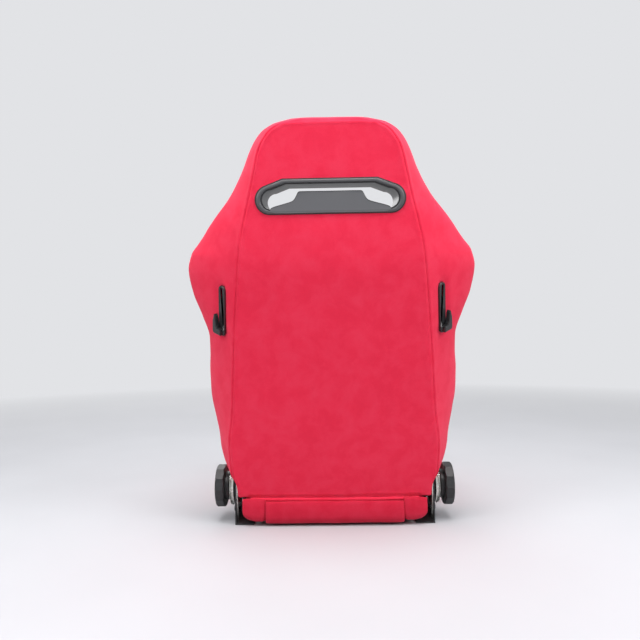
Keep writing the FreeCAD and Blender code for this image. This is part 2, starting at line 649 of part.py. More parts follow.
def back_arm(name, side):
    """Side plate of the backrest: an eye on the hub, a neck, and a wide web with two lightening holes."""
    body = new_body(name)
    gap = "Sizes.member_inner_x + Sizes.sheet_wall + Sizes.layer_gap"
    low_x = gap if side == LEFT else f"-({gap}) - Sizes.arm_wall"
    outline = sketch_on(body, "YZ_Plane", f"{name}_outline", low_x)
    eye = "Sizes.arm_eye_radius"
    draw_outline(outline, [
        (f"-{eye} * 0.8", f"-{eye} * 0.6"), (f"-{eye} * 0.3", f"-{eye}"), (f"{eye} * 0.3", f"-{eye}"),
        (f"{eye} * 0.8", f"-{eye} * 0.6"), (f"{eye}", "0"), ("Sizes.arm_rear_w", "Sizes.arm_neck_v"),
        ("Sizes.arm_rear_w", "Sizes.arm_top_v * 0.6"), ("Sizes.arm_rear_w - 9", "Sizes.arm_top_v"),
        ("Sizes.split_w + 3", "Sizes.arm_top_v"),
        ("Sizes.split_w + 0.5", "Sizes.arm_top_v - 12"), ("Sizes.split_w + 0.5", "Sizes.arm_neck_v"),
        (f"-{eye}", "0"),
    ])
    pad(body, outline, "Sizes.arm_wall")
    holes = sketch_on(body, "YZ_Plane", f"{name}_holes", low_x)
    draw_circle(holes, "0", "0", "Sizes.hub_radius + Sizes.running_gap")
    cut_through(body, holes)
    round_edges(body, X_AXIS, "1.5 * Sizes.arm_wall", lambda edge: edge.CenterOfMass.z > size("arm_neck_v"))
    return keep(name, body, BACK)


def stop_pins():
    """Stop pins of the side plates, which run in the arc slots of the latch plates."""
    angle = math.radians(size("stop_pin_angle"))
    orbit = size("stop_pin_orbit")
    pins = []
    for side in (LEFT, RIGHT):
        low, high = sorted((side * ARM_OUTER, side * (LATCH_OUTER - 0.4)))
        pins.append(cylinder_x(size("stop_pin_radius"), low, high, orbit * math.cos(angle),
                               orbit * math.sin(angle)))
    return solid_feature("stop_pins", Part.makeCompound(pins), BACK)


def latch_box(name, side):
    """Closed latch housing on a side plate, with its nose over the rim of the latch plate."""
    low_v = size("latch_box_foot_v")
    half = size("latch_box_width") / 2
    deep = size("latch_box_depth")
    rear = size("latch_box_rear_w")
    centre = Vector(ARM_OUTER + deep / 2 + 0.2, rear - half, size("latch_box_top_v"))
    top_v = size("latch_box_top_v")
    body = block(Vector(ARM_OUTER, rear - 2 * half, low_v), Vector(ARM_OUTER + deep, rear, top_v))
    edges = [e for e in body.Edges if abs(e.tangentAt(0).x) > 0.99]
    body = body.makeFillet(3, edges)
    nose_low = size("latch_radius") + 1
    nose = block(Vector(LATCH_INNER, rear - half - 4, nose_low),
                 Vector(LATCH_OUTER, rear - half + 4, low_v + 2))
    gland = Part.makeCylinder(size("gland_radius"), size("gland_length"), centre)
    bore = Part.makeCylinder(size("cable_radius"), size("gland_length"), centre)
    shape = body.fuse([nose, gland]).cut(bore)
    return solid_feature(name, mirrored(shape, side), BACK)


def cross_beam(name, low_v, height):
    """Pressed cross member between the side tubes: a shallow channel open to the front."""
    half = FRAME_X - size("tube_radius") - 0.3
    wall = size("sheet_wall")
    rear = split_plane(low_v) + size("beam_depth") + 4
    high = low_v + height
    inner = rear - size("beam_depth")
    profile = [
        Vector(-half, inner, low_v), Vector(-half, rear, low_v), Vector(-half, rear, high),
        Vector(-half, inner, high), Vector(-half, inner, high - wall),
        Vector(-half, rear - wall, high - wall),
        Vector(-half, rear - wall, low_v + wall), Vector(-half, inner, low_v + wall),
    ]
    return solid_feature(name, prism(profile, X_AXIS * (2 * half)), BACK)


def back_springs():
    """Sinuous springs across the backrest, hooked to the side tubes."""
    length = 2 * (FRAME_X - size("tube_radius"))
    spring = zigzag(length, size("back_spring_swing"), int(size("back_spring_waves")), size("wire"))
    along = Placement(Vector(length / 2, 0, 0), Rotation(Z_AXIS, 90))
    flat = Placement(Vector(), Rotation(X_AXIS, 90)) * along
    springs = []
    for k in range(int(size("back_spring_count"))):
        copy = spring.copy()
        height = size("back_spring_first_v") + k * size("back_spring_pitch")
        rise = Vector(0, split_plane(0) + 0.3 + size("wire"), height)
        copy.Placement = Placement(rise, Rotation()) * flat
        springs.append(copy)
    return solid_feature("back_springs", Part.makeCompound(springs), BACK)


def sized(table, *factors):
    """Scale the columns of a station table, each by its factor."""
    return [tuple(value * factor for value, factor in zip(row, factors)) for row in table]


TALL = size("back_top_v") / 762
WIDE = size("bolster_outer_x") / 240
DEEP = size("panel_w") / 48

# Backrest outline stations: height, rear seam half-width, side half-width at the split plane
BACK_STATIONS = sized([
    (0, 204, 204), (24, 206, 206), (58, 216, 236), (110, 217, 241), (200, 206, 245), (300, 198, 244),
    (400, 189, 250), (487, 180, 258), (529, 175, 247), (576, 165, 218), (622, 153, 187), (666, 143, 166),
    (710, 132, 149), (740, 116, 132), (755, 96, 112), (762, 60, 78),
], TALL, WIDE, WIDE)


def tub_section(v, seam, side, inset):
    """Return a section of the rear cover: rear panel with round seams, side faces, open front."""
    rear = rear_plane(v) - inset
    front = split_plane(v) - 12
    seam = seam - inset * 0.75
    side = side + (side - seam) * 12 / (size("panel_w") - size("split_w")) - inset * 1.25
    crown = size("panel_crown") if v < 560 else 0.6
    corner = 7
    points = [Vector(-seam + corner, rear, v), Vector(seam - corner, rear, v)]
    run = Vector(side - seam, front - rear, 0).normalize()
    turn = Vector(seam, rear - 1.5, v) + run * corner
    left = Vector(-turn.x, turn.y, v)
    edges = [
        Part.Arc(points[0], Vector(0, rear + crown, v), points[1]).toShape(),
        Part.Arc(points[1], Vector(seam - 0.6, rear - 1.6, v), turn).toShape(),
        Part.LineSegment(turn, Vector(side, front, v)).toShape(),
        Part.LineSegment(Vector(side, front, v), Vector(-side, front, v)).toShape(),
        Part.LineSegment(Vector(-side, front, v), left).toShape(),
        Part.Arc(left, Vector(-seam + 0.6, rear - 1.6, v), points[0]).toShape(),
    ]
    return Part.Wire(edges)


def slot_wire(half, top, bottom, flat, end_radius, y):
    """Return the head slot's outline: flat foot, round ends, a top that falls to the ends."""
    end_x = half - end_radius
    end_z = bottom + end_radius
    left = -1
    right = 1
    edges = [Part.LineSegment(Vector(-flat, y, top), Vector(flat, y, top)).toShape()]
    edges.append(Part.LineSegment(Vector(flat, y, top), Vector(end_x, y, end_z + end_radius)).toShape())
    for side, low, high in ((right, end_z + end_radius, bottom), (left, bottom, end_z + end_radius)):
        edges.append(Part.Arc(Vector(side * end_x, y, low), Vector(side * half, y, end_z),
                              Vector(side * end_x, y, high)).toShape())
        if side == right:
            edges.append(Part.LineSegment(Vector(end_x, y, bottom), Vector(-end_x, y, bottom)).toShape())
    edges.append(Part.LineSegment(Vector(-end_x, y, end_z + end_radius), Vector(-flat, y, top)).toShape())
    return Part.Wire(edges)


def slot_prism(half, top, bottom, flat, end_radius, low_y, high_y):
    """Return a solid of a head slot outline between two depths."""
    face = Part.Face(slot_wire(half, top, bottom, flat, end_radius, low_y))
    return face.extrude(Y_AXIS * (high_y - low_y))


SLOT_CENTRE = Vector(0, rear_plane(size("slot_v")), size("slot_v"))
SLOT_FRAME = Placement(SLOT_CENTRE, Rotation(X_AXIS, size("slot_tilt")))
HEAD = BACK * SLOT_FRAME


def liner_outline(grow):
    """Return the sizes of the slot outline grown by a wall."""
    return (size("slot_half") + grow, size("slot_top") + grow, size("slot_bottom") - grow, size("slot_flat"),
            size("slot_end_radius") + grow)


def tunnel():
    """Return the hole that the head slot's liner passes through, in the backrest's frame."""
    hole = slot_prism(*liner_outline(size("liner_wall")), -2 * size("head_depth"), size("head_depth"))
    hole.Placement = SLOT_FRAME
    return hole


def rear_cover():
    """Rear cover: one shell over the panel and side faces, with its lip, slots and recliner cut-outs."""
    outer = Part.makeLoft([tub_section(v, seam, side, 0) for v, seam, side in BACK_STATIONS], True, False)
    wall = size("cover_wall")
    inner_stations = [s for s in BACK_STATIONS if s[0] < 750]
    wires = [tub_section(v, seam, side, wall) for v, seam, side in inner_stations]
    inner = Part.makeLoft(wires, True, False)
    cover = outer.cut(inner)
    cover = cover.cut(front_space()).cut(tunnel())
    cut_r = size("recliner_cut_radius")
    for side in (LEFT, RIGHT):
        low, high = sorted((side * size("recliner_cut_x"), side * size("bolster_outer_x")))
        cover = cover.cut(cylinder_x(cut_r, low, high, 0, 0))
        low, high = sorted((side * (ARM_INNER - 1), side * (LATCH_OUTER + 1)))
        slot = block(Vector(low, split_plane(0) - 1, 0), Vector(high, size("arm_eye_radius") + 1, 90))
        cover = cover.cut(slot)
        low, high = sorted((side * (size("lever_plate_x") - 1.5), side * (size("lever_plate_x") + 6.5)))
        half = size("lever_slot_length") / 2 - 3
        mid = size("lever_slot_v")
        cover = cover.cut(block(Vector(low, split_plane(0) - 1, mid - half), Vector(high, 45, mid + half)))
        cover = cover.cut(mirrored(escutcheon_hole(), side))
    lip = block(Vector(-size("lip_half"), size("panel_w") - size("cover_wall") + 1, -size("lip_height")),
                Vector(size("lip_half"), size("panel_w") + size("lip_proud") - 2, 0))
    cover = cover.fuse(lip)
    return solid_feature("backrest_rear_cover", cover, BACK)


for side_name, sign in SIDES.items():
    back_arm(f"back_side_plate_{side_name}", sign)
    latch_box(f"latch_housing_{side_name}", sign)
back_frame()
stop_pins()
cross_beam("lower_cross_member", size("lower_beam_v") - size("lower_beam_height") / 2,
           size("lower_beam_height"))
back_springs()


def between(stations, v):
    """Interpolate the values of a list of stations at a height."""
    for low, high in zip(stations, stations[1:]):
        if v <= high[0]:
            share = (v - low[0]) / (high[0] - low[0])
            return [a + (b - a) * share for a, b in zip(low[1:], high[1:])]
    return list(stations[-1][1:])


def bulged(start, end, away, share=0.17):
    """Return an arc between two points, bulged away from an inner point by a share of its chord."""
    middle = (start + end) * 0.5
    outward = middle - away
    chord = end - start
    outward = outward - chord * (outward.dot(chord) / chord.dot(chord))
    return Part.Arc(start, middle + outward.normalize() * (chord.Length * share), end).toShape()


# Depth of the backrest insert's front at a few heights: lumbar swell, shoulders, neck
INSERT_FRONT = sized([(72, -34), (120, -40), (210, -49), (320, -46), (430, -42), (545, -50)], TALL, DEEP)


def insert_section(v, sink, draw):
    """Return a section of the backrest insert: flat back, crowned front, sides drawn in."""
    edge = between(INSERT_FRONT, v)[0] + sink
    half = size("insert_half") - draw
    corners = [Vector(-half, 0, v), Vector(-half, edge, v), Vector(half, edge, v), Vector(half, 0, v)]
    crown = Vector(0, edge - size("insert_crown"), v)
    return Part.Wire([
        Part.LineSegment(corners[0], corners[1]).toShape(),
        Part.Arc(corners[1], crown, corners[2]).toShape(),
        Part.LineSegment(corners[2], corners[3]).toShape(),
        Part.LineSegment(corners[3], corners[0]).toShape(),
    ])


def channelled(low, high, channels, section):
    """Join pillows end to end, each swelling between two sewn channels."""
    sink = size("channel_sink")
    step = (high - low) / (channels + 1)
    shape = None
    for k in range(channels + 1):
        start = low + k * step
        shoulder = sink * 0.25
        places = [(0, sink, 2.5), (0.14, shoulder, 0.8), (0.5, 0, 0), (0.86, shoulder, 0.8), (1, sink, 2.5)]
        pillow = Part.makeLoft([section(start + share * step, deep, draw) for share, deep, draw in places],
                               True, False)
        shape = pillow if shape is None else shape.fuse(pillow)
    return shape


def back_insert():
    """Front insert of the backrest, sewn across in channels."""
    channels = int(size("insert_channels"))
    shape = channelled(size("insert_foot_v"), size("insert_top_v"), channels, insert_section)
    return solid_feature("backrest_insert", shape.common(front_space()), BACK)


def bolster_section(v, front, outer, peak_share):
    """Return a section of a backrest bolster, from its inner wall round its peak to the side seam."""
    inner_x = size("insert_half") + size("seam_gap")
    base_x = between(BACK_STATIONS, v)[1]
    inner_w = between(INSERT_FRONT, v)[0] - 1
    peak = Vector(inner_x + (outer - inner_x) * peak_share, front, v)
    corners = [Vector(inner_x, 0, v), Vector(inner_x, inner_w, v), peak,
               Vector(outer, -46, v), Vector(base_x, split_plane(v), v), Vector(base_x, 0, v)]
    core = Vector((inner_x + outer) / 2, -40, v)
    return Part.Wire([
        Part.LineSegment(corners[0], corners[1]).toShape(),
        bulged(corners[1], corners[2], core, 0.08),
        bulged(corners[2], corners[3], core, 0.24),
        bulged(corners[3], corners[4], core, 0.1),
        Part.LineSegment(corners[4], corners[5]).toShape(),
        Part.LineSegment(corners[5], corners[0]).toShape(),
    ])


# Bolster stations: height, front depth, outer half-width, place of the peak across the width
LUMBAR_STATIONS = sized([
    (84, -60, 245, 0.58), (120, -76, 249, 0.6), (160, -95, 257, 0.62), (205, -117, 263, 0.64),
    (250, -118, 261, 0.64), (295, -98, 259, 0.6), (327, -80, 257, 0.56),
], TALL, DEEP, WIDE, 1)
SHOULDER_STATIONS = sized([
    (330, -80, 258, 0.56), (375, -94, 269, 0.6), (425, -112, 286, 0.66), (470, -119, 292, 0.68),
    (503, -110, 287, 0.66), (528, -92, 270, 0.6), (544, -74, 257, 0.55),
], TALL, DEEP, WIDE, 1)


def bolster(name, side, stations, pocket=None):
    """Loft one bolster and cut the space that the lever's mechanism takes."""
    shape = Part.makeLoft([bolster_section(*row) for row in stations], True, False).common(front_space())
    if pocket is not None:
        shape = shape.cut(pocket)
    return solid_feature(name, mirrored(shape, side), BACK)


def lever_pocket():
    """Return the slot in a shoulder bolster that the lever's arm and bracket work in."""
    low_x = size("lever_plate_x") - 1.5
    high_x = size("lever_plate_x") + size("lever_wall") + size("bracket_wall") + 2.5
    pivot_v = LEVER_PIVOT_V
    return block(Vector(low_x, size("lever_pivot_w") - 16, pivot_v - 46), Vector(high_x, 0, pivot_v + 42))


# Head pad stations: height, half-width, front depth
HEAD_STATIONS = sized([
    (547, 253, -64), (580, 228, -68), (620, 197, -74), (666, 172, -80), (710, 152, -84), (738, 136, -80),
    (754, 117, -70), (762, 88, -58),
], TALL, WIDE, DEEP)


def head_section(v, half, front):
    """Return a section of the head pad: sides from the seam, round front corners, a crowned front."""
    base_x = between(BACK_STATIONS, v)[1]
    corner = min(26, half * 0.2)
    widest = split_plane(v) - 14
    right = [Vector(base_x, 0, v), Vector(half, widest, v), Vector(half - corner, front, v)]
    left = [Vector(-p.x, p.y, v) for p in right]
    core = Vector(0, split_plane(v) - 20, v)
    return Part.Wire([
        Part.LineSegment(left[0], left[1]).toShape(),
        bulged(left[1], left[2], core, 0.2),
        Part.Arc(left[2], Vector(0, front - 7, v), right[2]).toShape(),
        bulged(right[2], right[1], core, 0.2),
        Part.LineSegment(right[1], right[0]).toShape(),
        Part.LineSegment(right[0], left[0]).toShape(),
    ])


def head_pad():
    """Front pad of the head section, with the head slot through it."""
    shape = Part.makeLoft([head_section(*row) for row in HEAD_STATIONS], True, False)
    seat = slot_prism(size("bezel_half") + 0.3, size("bezel_rise") + 0.3, -size("bezel_rise") - 0.3,
                      size("bezel_flat"), size("bezel_end_radius") + 0.3, -2 * HEAD_DEPTH, -HEAD_DEPTH)
    seat.Placement = SLOT_FRAME
    return solid_feature("head_pad", shape.common(front_space()).cut(tunnel()).cut(seat), BACK)


SLOT_OPENING = liner_outline(0)
HEAD_REAR = size("head_rear")
HEAD_DEPTH = size("head_depth")


def bezel(name, low_y, high_y, bevel_rear):
    """Trim ring round the head slot, bevelled on its showing side."""
    outline = (size("bezel_half"), size("bezel_rise"), -size("bezel_rise"), size("bezel_flat"),
               size("bezel_end_radius"))
    ring = slot_prism(*outline, low_y, high_y)
    shown = high_y if bevel_rear else low_y
    edges = [e for e in ring.Edges if abs(e.BoundBox.Center.y - shown) < 0.01 and e.BoundBox.YLength < 0.02]
    ring = ring.makeChamfer((high_y - low_y) * 0.5, edges)
    ring = ring.cut(slot_prism(*SLOT_OPENING, low_y - 1, high_y + 1))
    return solid_feature(name, ring, HEAD)


def slot_liner():
    """Liner tube of the head slot, between its two trim rings."""
    outer = slot_prism(*liner_outline(size("liner_wall")), -HEAD_DEPTH, HEAD_REAR)
    opening = slot_prism(*SLOT_OPENING, -HEAD_DEPTH - 1, HEAD_REAR + 1)
    return solid_feature("head_slot_liner", outer.cut(opening), HEAD)


def slot_plate():
    """Plain plate standing in the foot of the head slot, with steep flanks and low shoulders."""
    foot = size("slot_bottom")
    rear = -size("plate_recess")
    half = [
        (size("plate_end_half"), foot), (size("plate_shoulder_half"), size("plate_shoulder")),
        (size("plate_top_half") + 3, size("plate_top") - 5), (size("plate_top_half") - 1, size("plate_top")),
    ]
    points = [Vector(x, rear, z) for x, z in half] + [Vector(-x, rear, z) for x, z in reversed(half)]
    return solid_feature("head_slot_plate", prism(points, Y_AXIS * -size("plate_wall")), HEAD)


LEVER_PIVOT_V = size("lever_slot_v") + size("lever_pivot_rise")
GRIP_V = size("lever_slot_v") - size("grip_drop")


def face_frame():
    """Return the frame of the left side face at its lever: y out of the face, z up along it."""
    centre = Vector(size("lever_slot_x"), size("lever_face_w"), size("lever_slot_v"))
    return Placement(centre, Rotation(Z_AXIS, -size("face_turn")) * Rotation(Y_AXIS, -size("face_tilt")))


def oblong(half_width, half_length, low_y, high_y):
    """Return an oblong with round ends along z, in the frame of a side face."""
    straight = half_length - half_width
    body = block(Vector(-half_width, low_y, -straight), Vector(half_width, high_y, straight))
    for z in (-straight, straight):
        body = body.fuse(Part.makeCylinder(half_width, high_y - low_y, Vector(0, low_y, z), Y_AXIS))
    return body.removeSplitter()


def blade_slot():
    """Return the space that a lever's blade sweeps through a side face."""
    low_x = size("lever_plate_x") - 1
    high_x = size("lever_plate_x") + size("lever_wall") + 1
    half = size("lever_slot_length") / 2 - 5
    mid = size("lever_slot_v")
    return block(Vector(low_x, -60, mid - half), Vector(high_x, 60, mid + half))


def escutcheon(name, side):
    """Oblong escutcheon: a flange on the side face and a plug in it, slotted for the lever's blade."""
    half = size("escutcheon_width") / 2
    length = size("lever_slot_length") / 2
    flange = oblong(half, length, 1.4, 1.4 + size("escutcheon_wall"))
    shape = flange.fuse(oblong(half - 2, length - 2, -5, 1.4))
    shape.Placement = face_frame()
    return solid_feature(name, mirrored(shape.cut(blade_slot()), side), BACK)


def escutcheon_hole():
    """Return the hole in the cover that an escutcheon's plug sits in."""
    half = size("escutcheon_width") / 2 - 2
    length = size("lever_slot_length") / 2 - 2
    shape = oblong(half, length, -5, 12)
    shape.Placement = face_frame()
    return shape


def lever_grip(low):
    """Return a lever's grip in the frame of its side face: a foot over the slot and a paddle outside it."""
    near = size("escutcheon_wall") + 3.2
    far = near + size("grip_thickness")
    reach = size("grip_reach")
    foot = low + size("grip_foot")
    high = low + size("grip_height")
    outline = [
        Vector(-7, near, low), Vector(reach - 2, near, low), Vector(reach, near, low + 6),
        Vector(reach - 0.5, near, high - 12), Vector(reach - 5, near, high + 2),
        Vector(reach - 8, near, high - 2),
        Vector(reach - 11, near, foot + 6), Vector(reach - 14, near, foot), Vector(-7, near, foot),
    ]
    grip = prism(outline, Y_AXIS * (far - near))
    return grip.makeFillet(2, [e for e in grip.Edges if e.BoundBox.YMin > far - 0.01])


def release_lever(name, side):
    """Shoulder lever: a flat arm on its pivot, a blade through the slot and a grip with a raised tip."""
    low_x = size("lever_plate_x")
    pivot = Vector(low_x, size("lever_pivot_w"), LEVER_PIVOT_V)
    boss = size("lever_boss")
    foot_v = GRIP_V - size("grip_height") / 2
    face_w = size("lever_face_w")
    arm = prism([
        Vector(low_x, pivot.y, pivot.z + boss), Vector(low_x, face_w - 24, pivot.z + boss),
        Vector(low_x, face_w - 2, foot_v + size("grip_foot") + 8),
        Vector(low_x, face_w + 12, foot_v + size("grip_foot") - 1), Vector(low_x, face_w + 12, foot_v + 5),
        Vector(low_x, face_w - 4, foot_v + 5), Vector(low_x, face_w - 26, pivot.z - boss),
        Vector(low_x, pivot.y, pivot.z - boss),
    ], X_AXIS * size("lever_wall"))
    arm = arm.fuse(cylinder_x(boss, low_x, low_x + size("lever_wall"), pivot.y, pivot.z))
    bore = size("lever_pin_radius") + size("running_gap") / 3
    arm = arm.cut(cylinder_x(bore, low_x, low_x + size("lever_wall"), pivot.y, pivot.z))
    grip = lever_grip(foot_v - size("lever_slot_v"))
    grip.Placement = face_frame()
    return solid_feature(name, mirrored(arm.fuse(grip).removeSplitter(), side), BACK)


def lever_bracket(name, side):
    """Bracket on the side tube with the pin that a shoulder lever turns on."""
    low_x = size("lever_plate_x") + size("lever_wall") + 0.8
    high_x = low_x + size("bracket_wall")
    pivot_v = LEVER_PIVOT_V
    foot_v = GRIP_V - 5
    tube_x = ARM_INNER
    plate = block(Vector(low_x, size("lever_pivot_w") - 12, foot_v), Vector(high_x, 4, pivot_v + 14))
    plate = plate.makeFillet(8, [e for e in plate.Edges if e.Length < 3 and e.BoundBox.YMax < -70])
    foot = block(Vector(tube_x, split_plane(0) + 1, foot_v), Vector(high_x, 4, foot_v + 11))
    pin = cylinder_x(size("lever_pin_radius"), size("lever_plate_x") - 0.8, low_x,
                     size("lever_pivot_w"), pivot_v)
    lug = cylinder_x(size("lever_pin_radius") + 2, size("lever_plate_x") - 1.4, size("lever_plate_x") - 0.4,
                     size("lever_pivot_w"), pivot_v)
    return solid_feature(name, mirrored(plate.fuse([foot, pin, lug]), side), BACK)


def eased_path(points):
    """Join points by runs with arcs as large as the two runs at each corner allow, and print the radii."""
    edges = []
    start = points[0]
    radii = []
    for before, corner, after in zip(points, points[1:], points[2:]):
        back = (before - corner).normalize()
        ahead = (after - corner).normalize()
        turn = math.pi - math.acos(max(-1.0, min(1.0, back.dot(ahead))))
        setback = 0.45 * min((before - corner).Length, (after - corner).Length)
        radius = setback / math.tan(turn / 2)
        radii.append(round(radius))
        inward = (back + ahead).normalize()
        middle = corner + inward * (radius / math.cos(turn / 2) - radius)
        edges.append(Part.LineSegment(start, corner + back * setback).toShape())
        edges.append(Part.Arc(corner + back * setback, middle, corner + ahead * setback).toShape())
        start = corner + ahead * setback
    edges.append(Part.LineSegment(start, points[-1]).toShape())
    print("cable radii", radii)
    return Part.Wire(edges)


def release_cable(name, side):
    """Cable from a lever bracket down its side plate to the latch housing."""
    top = Vector(ARM_OUTER + size("latch_box_depth") / 2 - 1, -6, GRIP_V - 5)
    low = Vector(ARM_OUTER + size("latch_box_depth") / 2 + 0.2,
                 size("latch_box_rear_w") - size("latch_box_width") / 2, size("latch_box_top_v"))
    run = top.z - low.z
    points = [top, top + Vector(0.6, 2, -50), Vector(low.x + 0.2, -1, low.z + 0.524 * run),
              Vector(low.x + 0.5, -3, low.z + 0.295 * run), low + Vector(0, 0, 28), low]
    path = eased_path(points)
    cable = tube_along(path, size("cable_radius"))
    print(name, "volume over section times length",
          round(cable.Volume / (math.pi * size("cable_radius") ** 2 * path.Length), 4))
    return solid_feature(name, mirrored(cable, side), BACK)


for side_name, sign in SIDES.items():
    bolster(f"lumbar_bolster_{side_name}", sign, LUMBAR_STATIONS)
    bolster(f"shoulder_bolster_{side_name}", sign, SHOULDER_STATIONS, lever_pocket())
    escutcheon(f"lever_escutcheon_{side_name}", sign)
    release_lever(f"release_lever_{side_name}", sign)
    lever_bracket(f"lever_bracket_{side_name}", sign)
    release_cable(f"release_cable_{side_name}", sign)
cross_beam("upper_cross_member", size("upper_beam_v"), size("upper_beam_height"))
back_insert()
head_pad()
bezel("head_bezel_rear", HEAD_REAR, HEAD_REAR + size("bezel_proud"), True)
bezel("head_bezel_front", -HEAD_DEPTH - size("front_bezel_proud"), -HEAD_DEPTH, False)
slot_liner()
slot_plate()
rear_cover()


LONG = size("thigh_roll_y") / -165
HIGH = size("thigh_roll_z") / 200

# Height of the cushion insert's edge along the seat, from its rear end to the thigh roll
CUSHION_TOP = sized([(-165, 190), (-60, 172), (30, 158), (109, 146)], LONG, HIGH)


def cushion_section(y, sink, draw):
    """Return a section of the seat cushion's insert: flat base, crowned top, sides drawn in."""
    edge = between(CUSHION_TOP, y)[0] - sink
    half = size("cushion_half") - draw
    base = size("cushion_base_z")
    corners = [Vector(-half, y, base), Vector(half, y, base), Vector(half, y, edge), Vector(-half, y, edge)]
    return Part.Wire([
        Part.LineSegment(corners[0], corners[1]).toShape(),
        Part.LineSegment(corners[1], corners[2]).toShape(),
        Part.Arc(corners[2], Vector(0, y, edge + size("cushion_crown")), corners[3]).toShape(),
        Part.LineSegment(corners[3], corners[0]).toShape(),
    ])


def cushion_insert():
    """Seat cushion's insert, sewn across in channels."""
    rear = size("pivot_y") + size("cushion_rear_offset")
    shape = channelled(size("thigh_roll_y"), rear, int(size("cushion_channels")), cushion_section)
    return solid_feature("cushion_insert", shape)


def roll(name, profile, half, swell):
    """Loft a roll across the seat from one profile, a little fuller in its middle."""
    centre = Vector(0, sum(p.y for p in profile) / len(profile), sum(p.z for p in profile) / len(profile))
    wires = []
    for x, grow in ((-half, 1 - swell), (-half * 0.8, 1), (0, 1 + swell), (half * 0.8, 1), (half, 1 - swell)):
        points = [centre + (p - centre) * grow + X_AXIS * x for p in profile]
        count = len(points)
        edges = []
        for k in range(0, count, 2):
            edges.append(Part.Arc(points[k], points[k + 1], points[(k + 2) % count]).toShape())
        wires.append(Part.Wire(edges))
    return solid_feature(name, Part.makeLoft(wires, True, False))


def thigh_roll():
    """Front thigh roll of the seat cushion."""
    joint = size("thigh_roll_y") - size("seam_gap")
    front = size("cushion_front_y") + 4
    top = size("thigh_roll_z") - 2
    base = size("cushion_base_z") + 2
    profile = [
        Vector(0, joint - 1, base), Vector(0, joint - 0.6, 130), Vector(0, joint - 1, top - 14),
        Vector(0, joint - 38, top), Vector(0, front + 34, top - 14),
        Vector(0, front + 10, top - 36), Vector(0, front, 138),
        Vector(0, front + 2, 80), Vector(0, front + 8, 30),
        Vector(0, front + 13, 22), Vector(0, front + 22, 30),
        Vector(0, front + 26, base - 12), Vector(0, front + 44, base),
        Vector(0, (front + joint) / 2 + 20, base - 0.6),
    ]
    return roll("thigh_roll", profile, size("cushion_half") - 1, 0.01)


def rear_roll():
    """Soft rear roll of the cushion, under the foot of the backrest, pressed when the backrest folds."""
    front = size("pivot_y") + size("cushion_rear_offset") + size("seam_gap") + 1
    rear = size("pivot_y") - 38
    base = size("cushion_base_z") + 1.1
    profile = [
        Vector(0, front, base), Vector(0, front - 0.4, 106), Vector(0, front, 136),
        Vector(0, front + 22, 143), Vector(0, front + 48, 134),
        Vector(0, rear - 2, 118), Vector(0, rear, 100),
        Vector(0, rear - 6, 86), Vector(0, rear - 20, base + 3),
        Vector(0, (front + rear) / 2, base + 0.4),
    ]
    return roll("cushion_rear_roll", profile, size("cushion_half") - 2, 0.008)


# Cushion bolster stations: y, inner edge height, peak height, outer half-width, outer edge height
CUSHION_BOLSTERS = sized([
    (104, 112, 126, 236, 112), (84, 128, 144, 238, 124), (60, 140, 162, 239, 136), (20, 152, 192, 240, 150),
    (-20, 160, 208, 240, 162), (-110, 176, 217, 239, 170), (-200, 188, 214, 236, 166),
    (-255, 172, 196, 231, 148), (-280, 140, 160, 226, 122),
], LONG, HIGH, HIGH, WIDE, HIGH)


def cushion_bolster(name, side):
    """Bolster of the seat cushion: a raised roll over the side member with a skirt outside it."""
    inner = size("bolster_inner_x")
    skirt = size("skirt_z")
    wires = []
    for y, inner_z, peak_z, outer, outer_z in CUSHION_BOLSTERS:
        peak = Vector(inner + (outer - inner) * 0.56, y, peak_z)
        corners = [Vector(inner, y, skirt), Vector(inner, y, inner_z), peak, Vector(outer, y, outer_z),
                   Vector(outer - 5, y, skirt + 5), Vector(outer - 12, y, skirt)]
        core = Vector(peak.x, y, 60)
        wires.append(Part.Wire([
            Part.LineSegment(corners[0], corners[1]).toShape(),
            bulged(corners[1], corners[2], core, 0.12),
            bulged(corners[2], corners[3], core, 0.2),
            bulged(corners[3], corners[4], core, 0.03),
            bulged(corners[4], corners[5], core, 0.2),
            Part.LineSegment(corners[5], corners[0]).toShape(),
        ]))
    shape = Part.makeLoft(wires, True, False)
    gap = size("cushion_clearance")
    front = size("cushion_front_y") - 10
    under = block(Vector(inner - 10, front, -10),
                  Vector(size("member_inner_x") + gap, PIVOT.y, size("cushion_base_z") + gap))
    member = block(Vector(inner, front, -10),
                   Vector(MEMBER_OUTER + size("hex_height") + gap, PIVOT.y, size("member_top_z") + gap))
    shape = shape.cut(under).cut(member)
    return solid_feature(name, mirrored(shape, side))


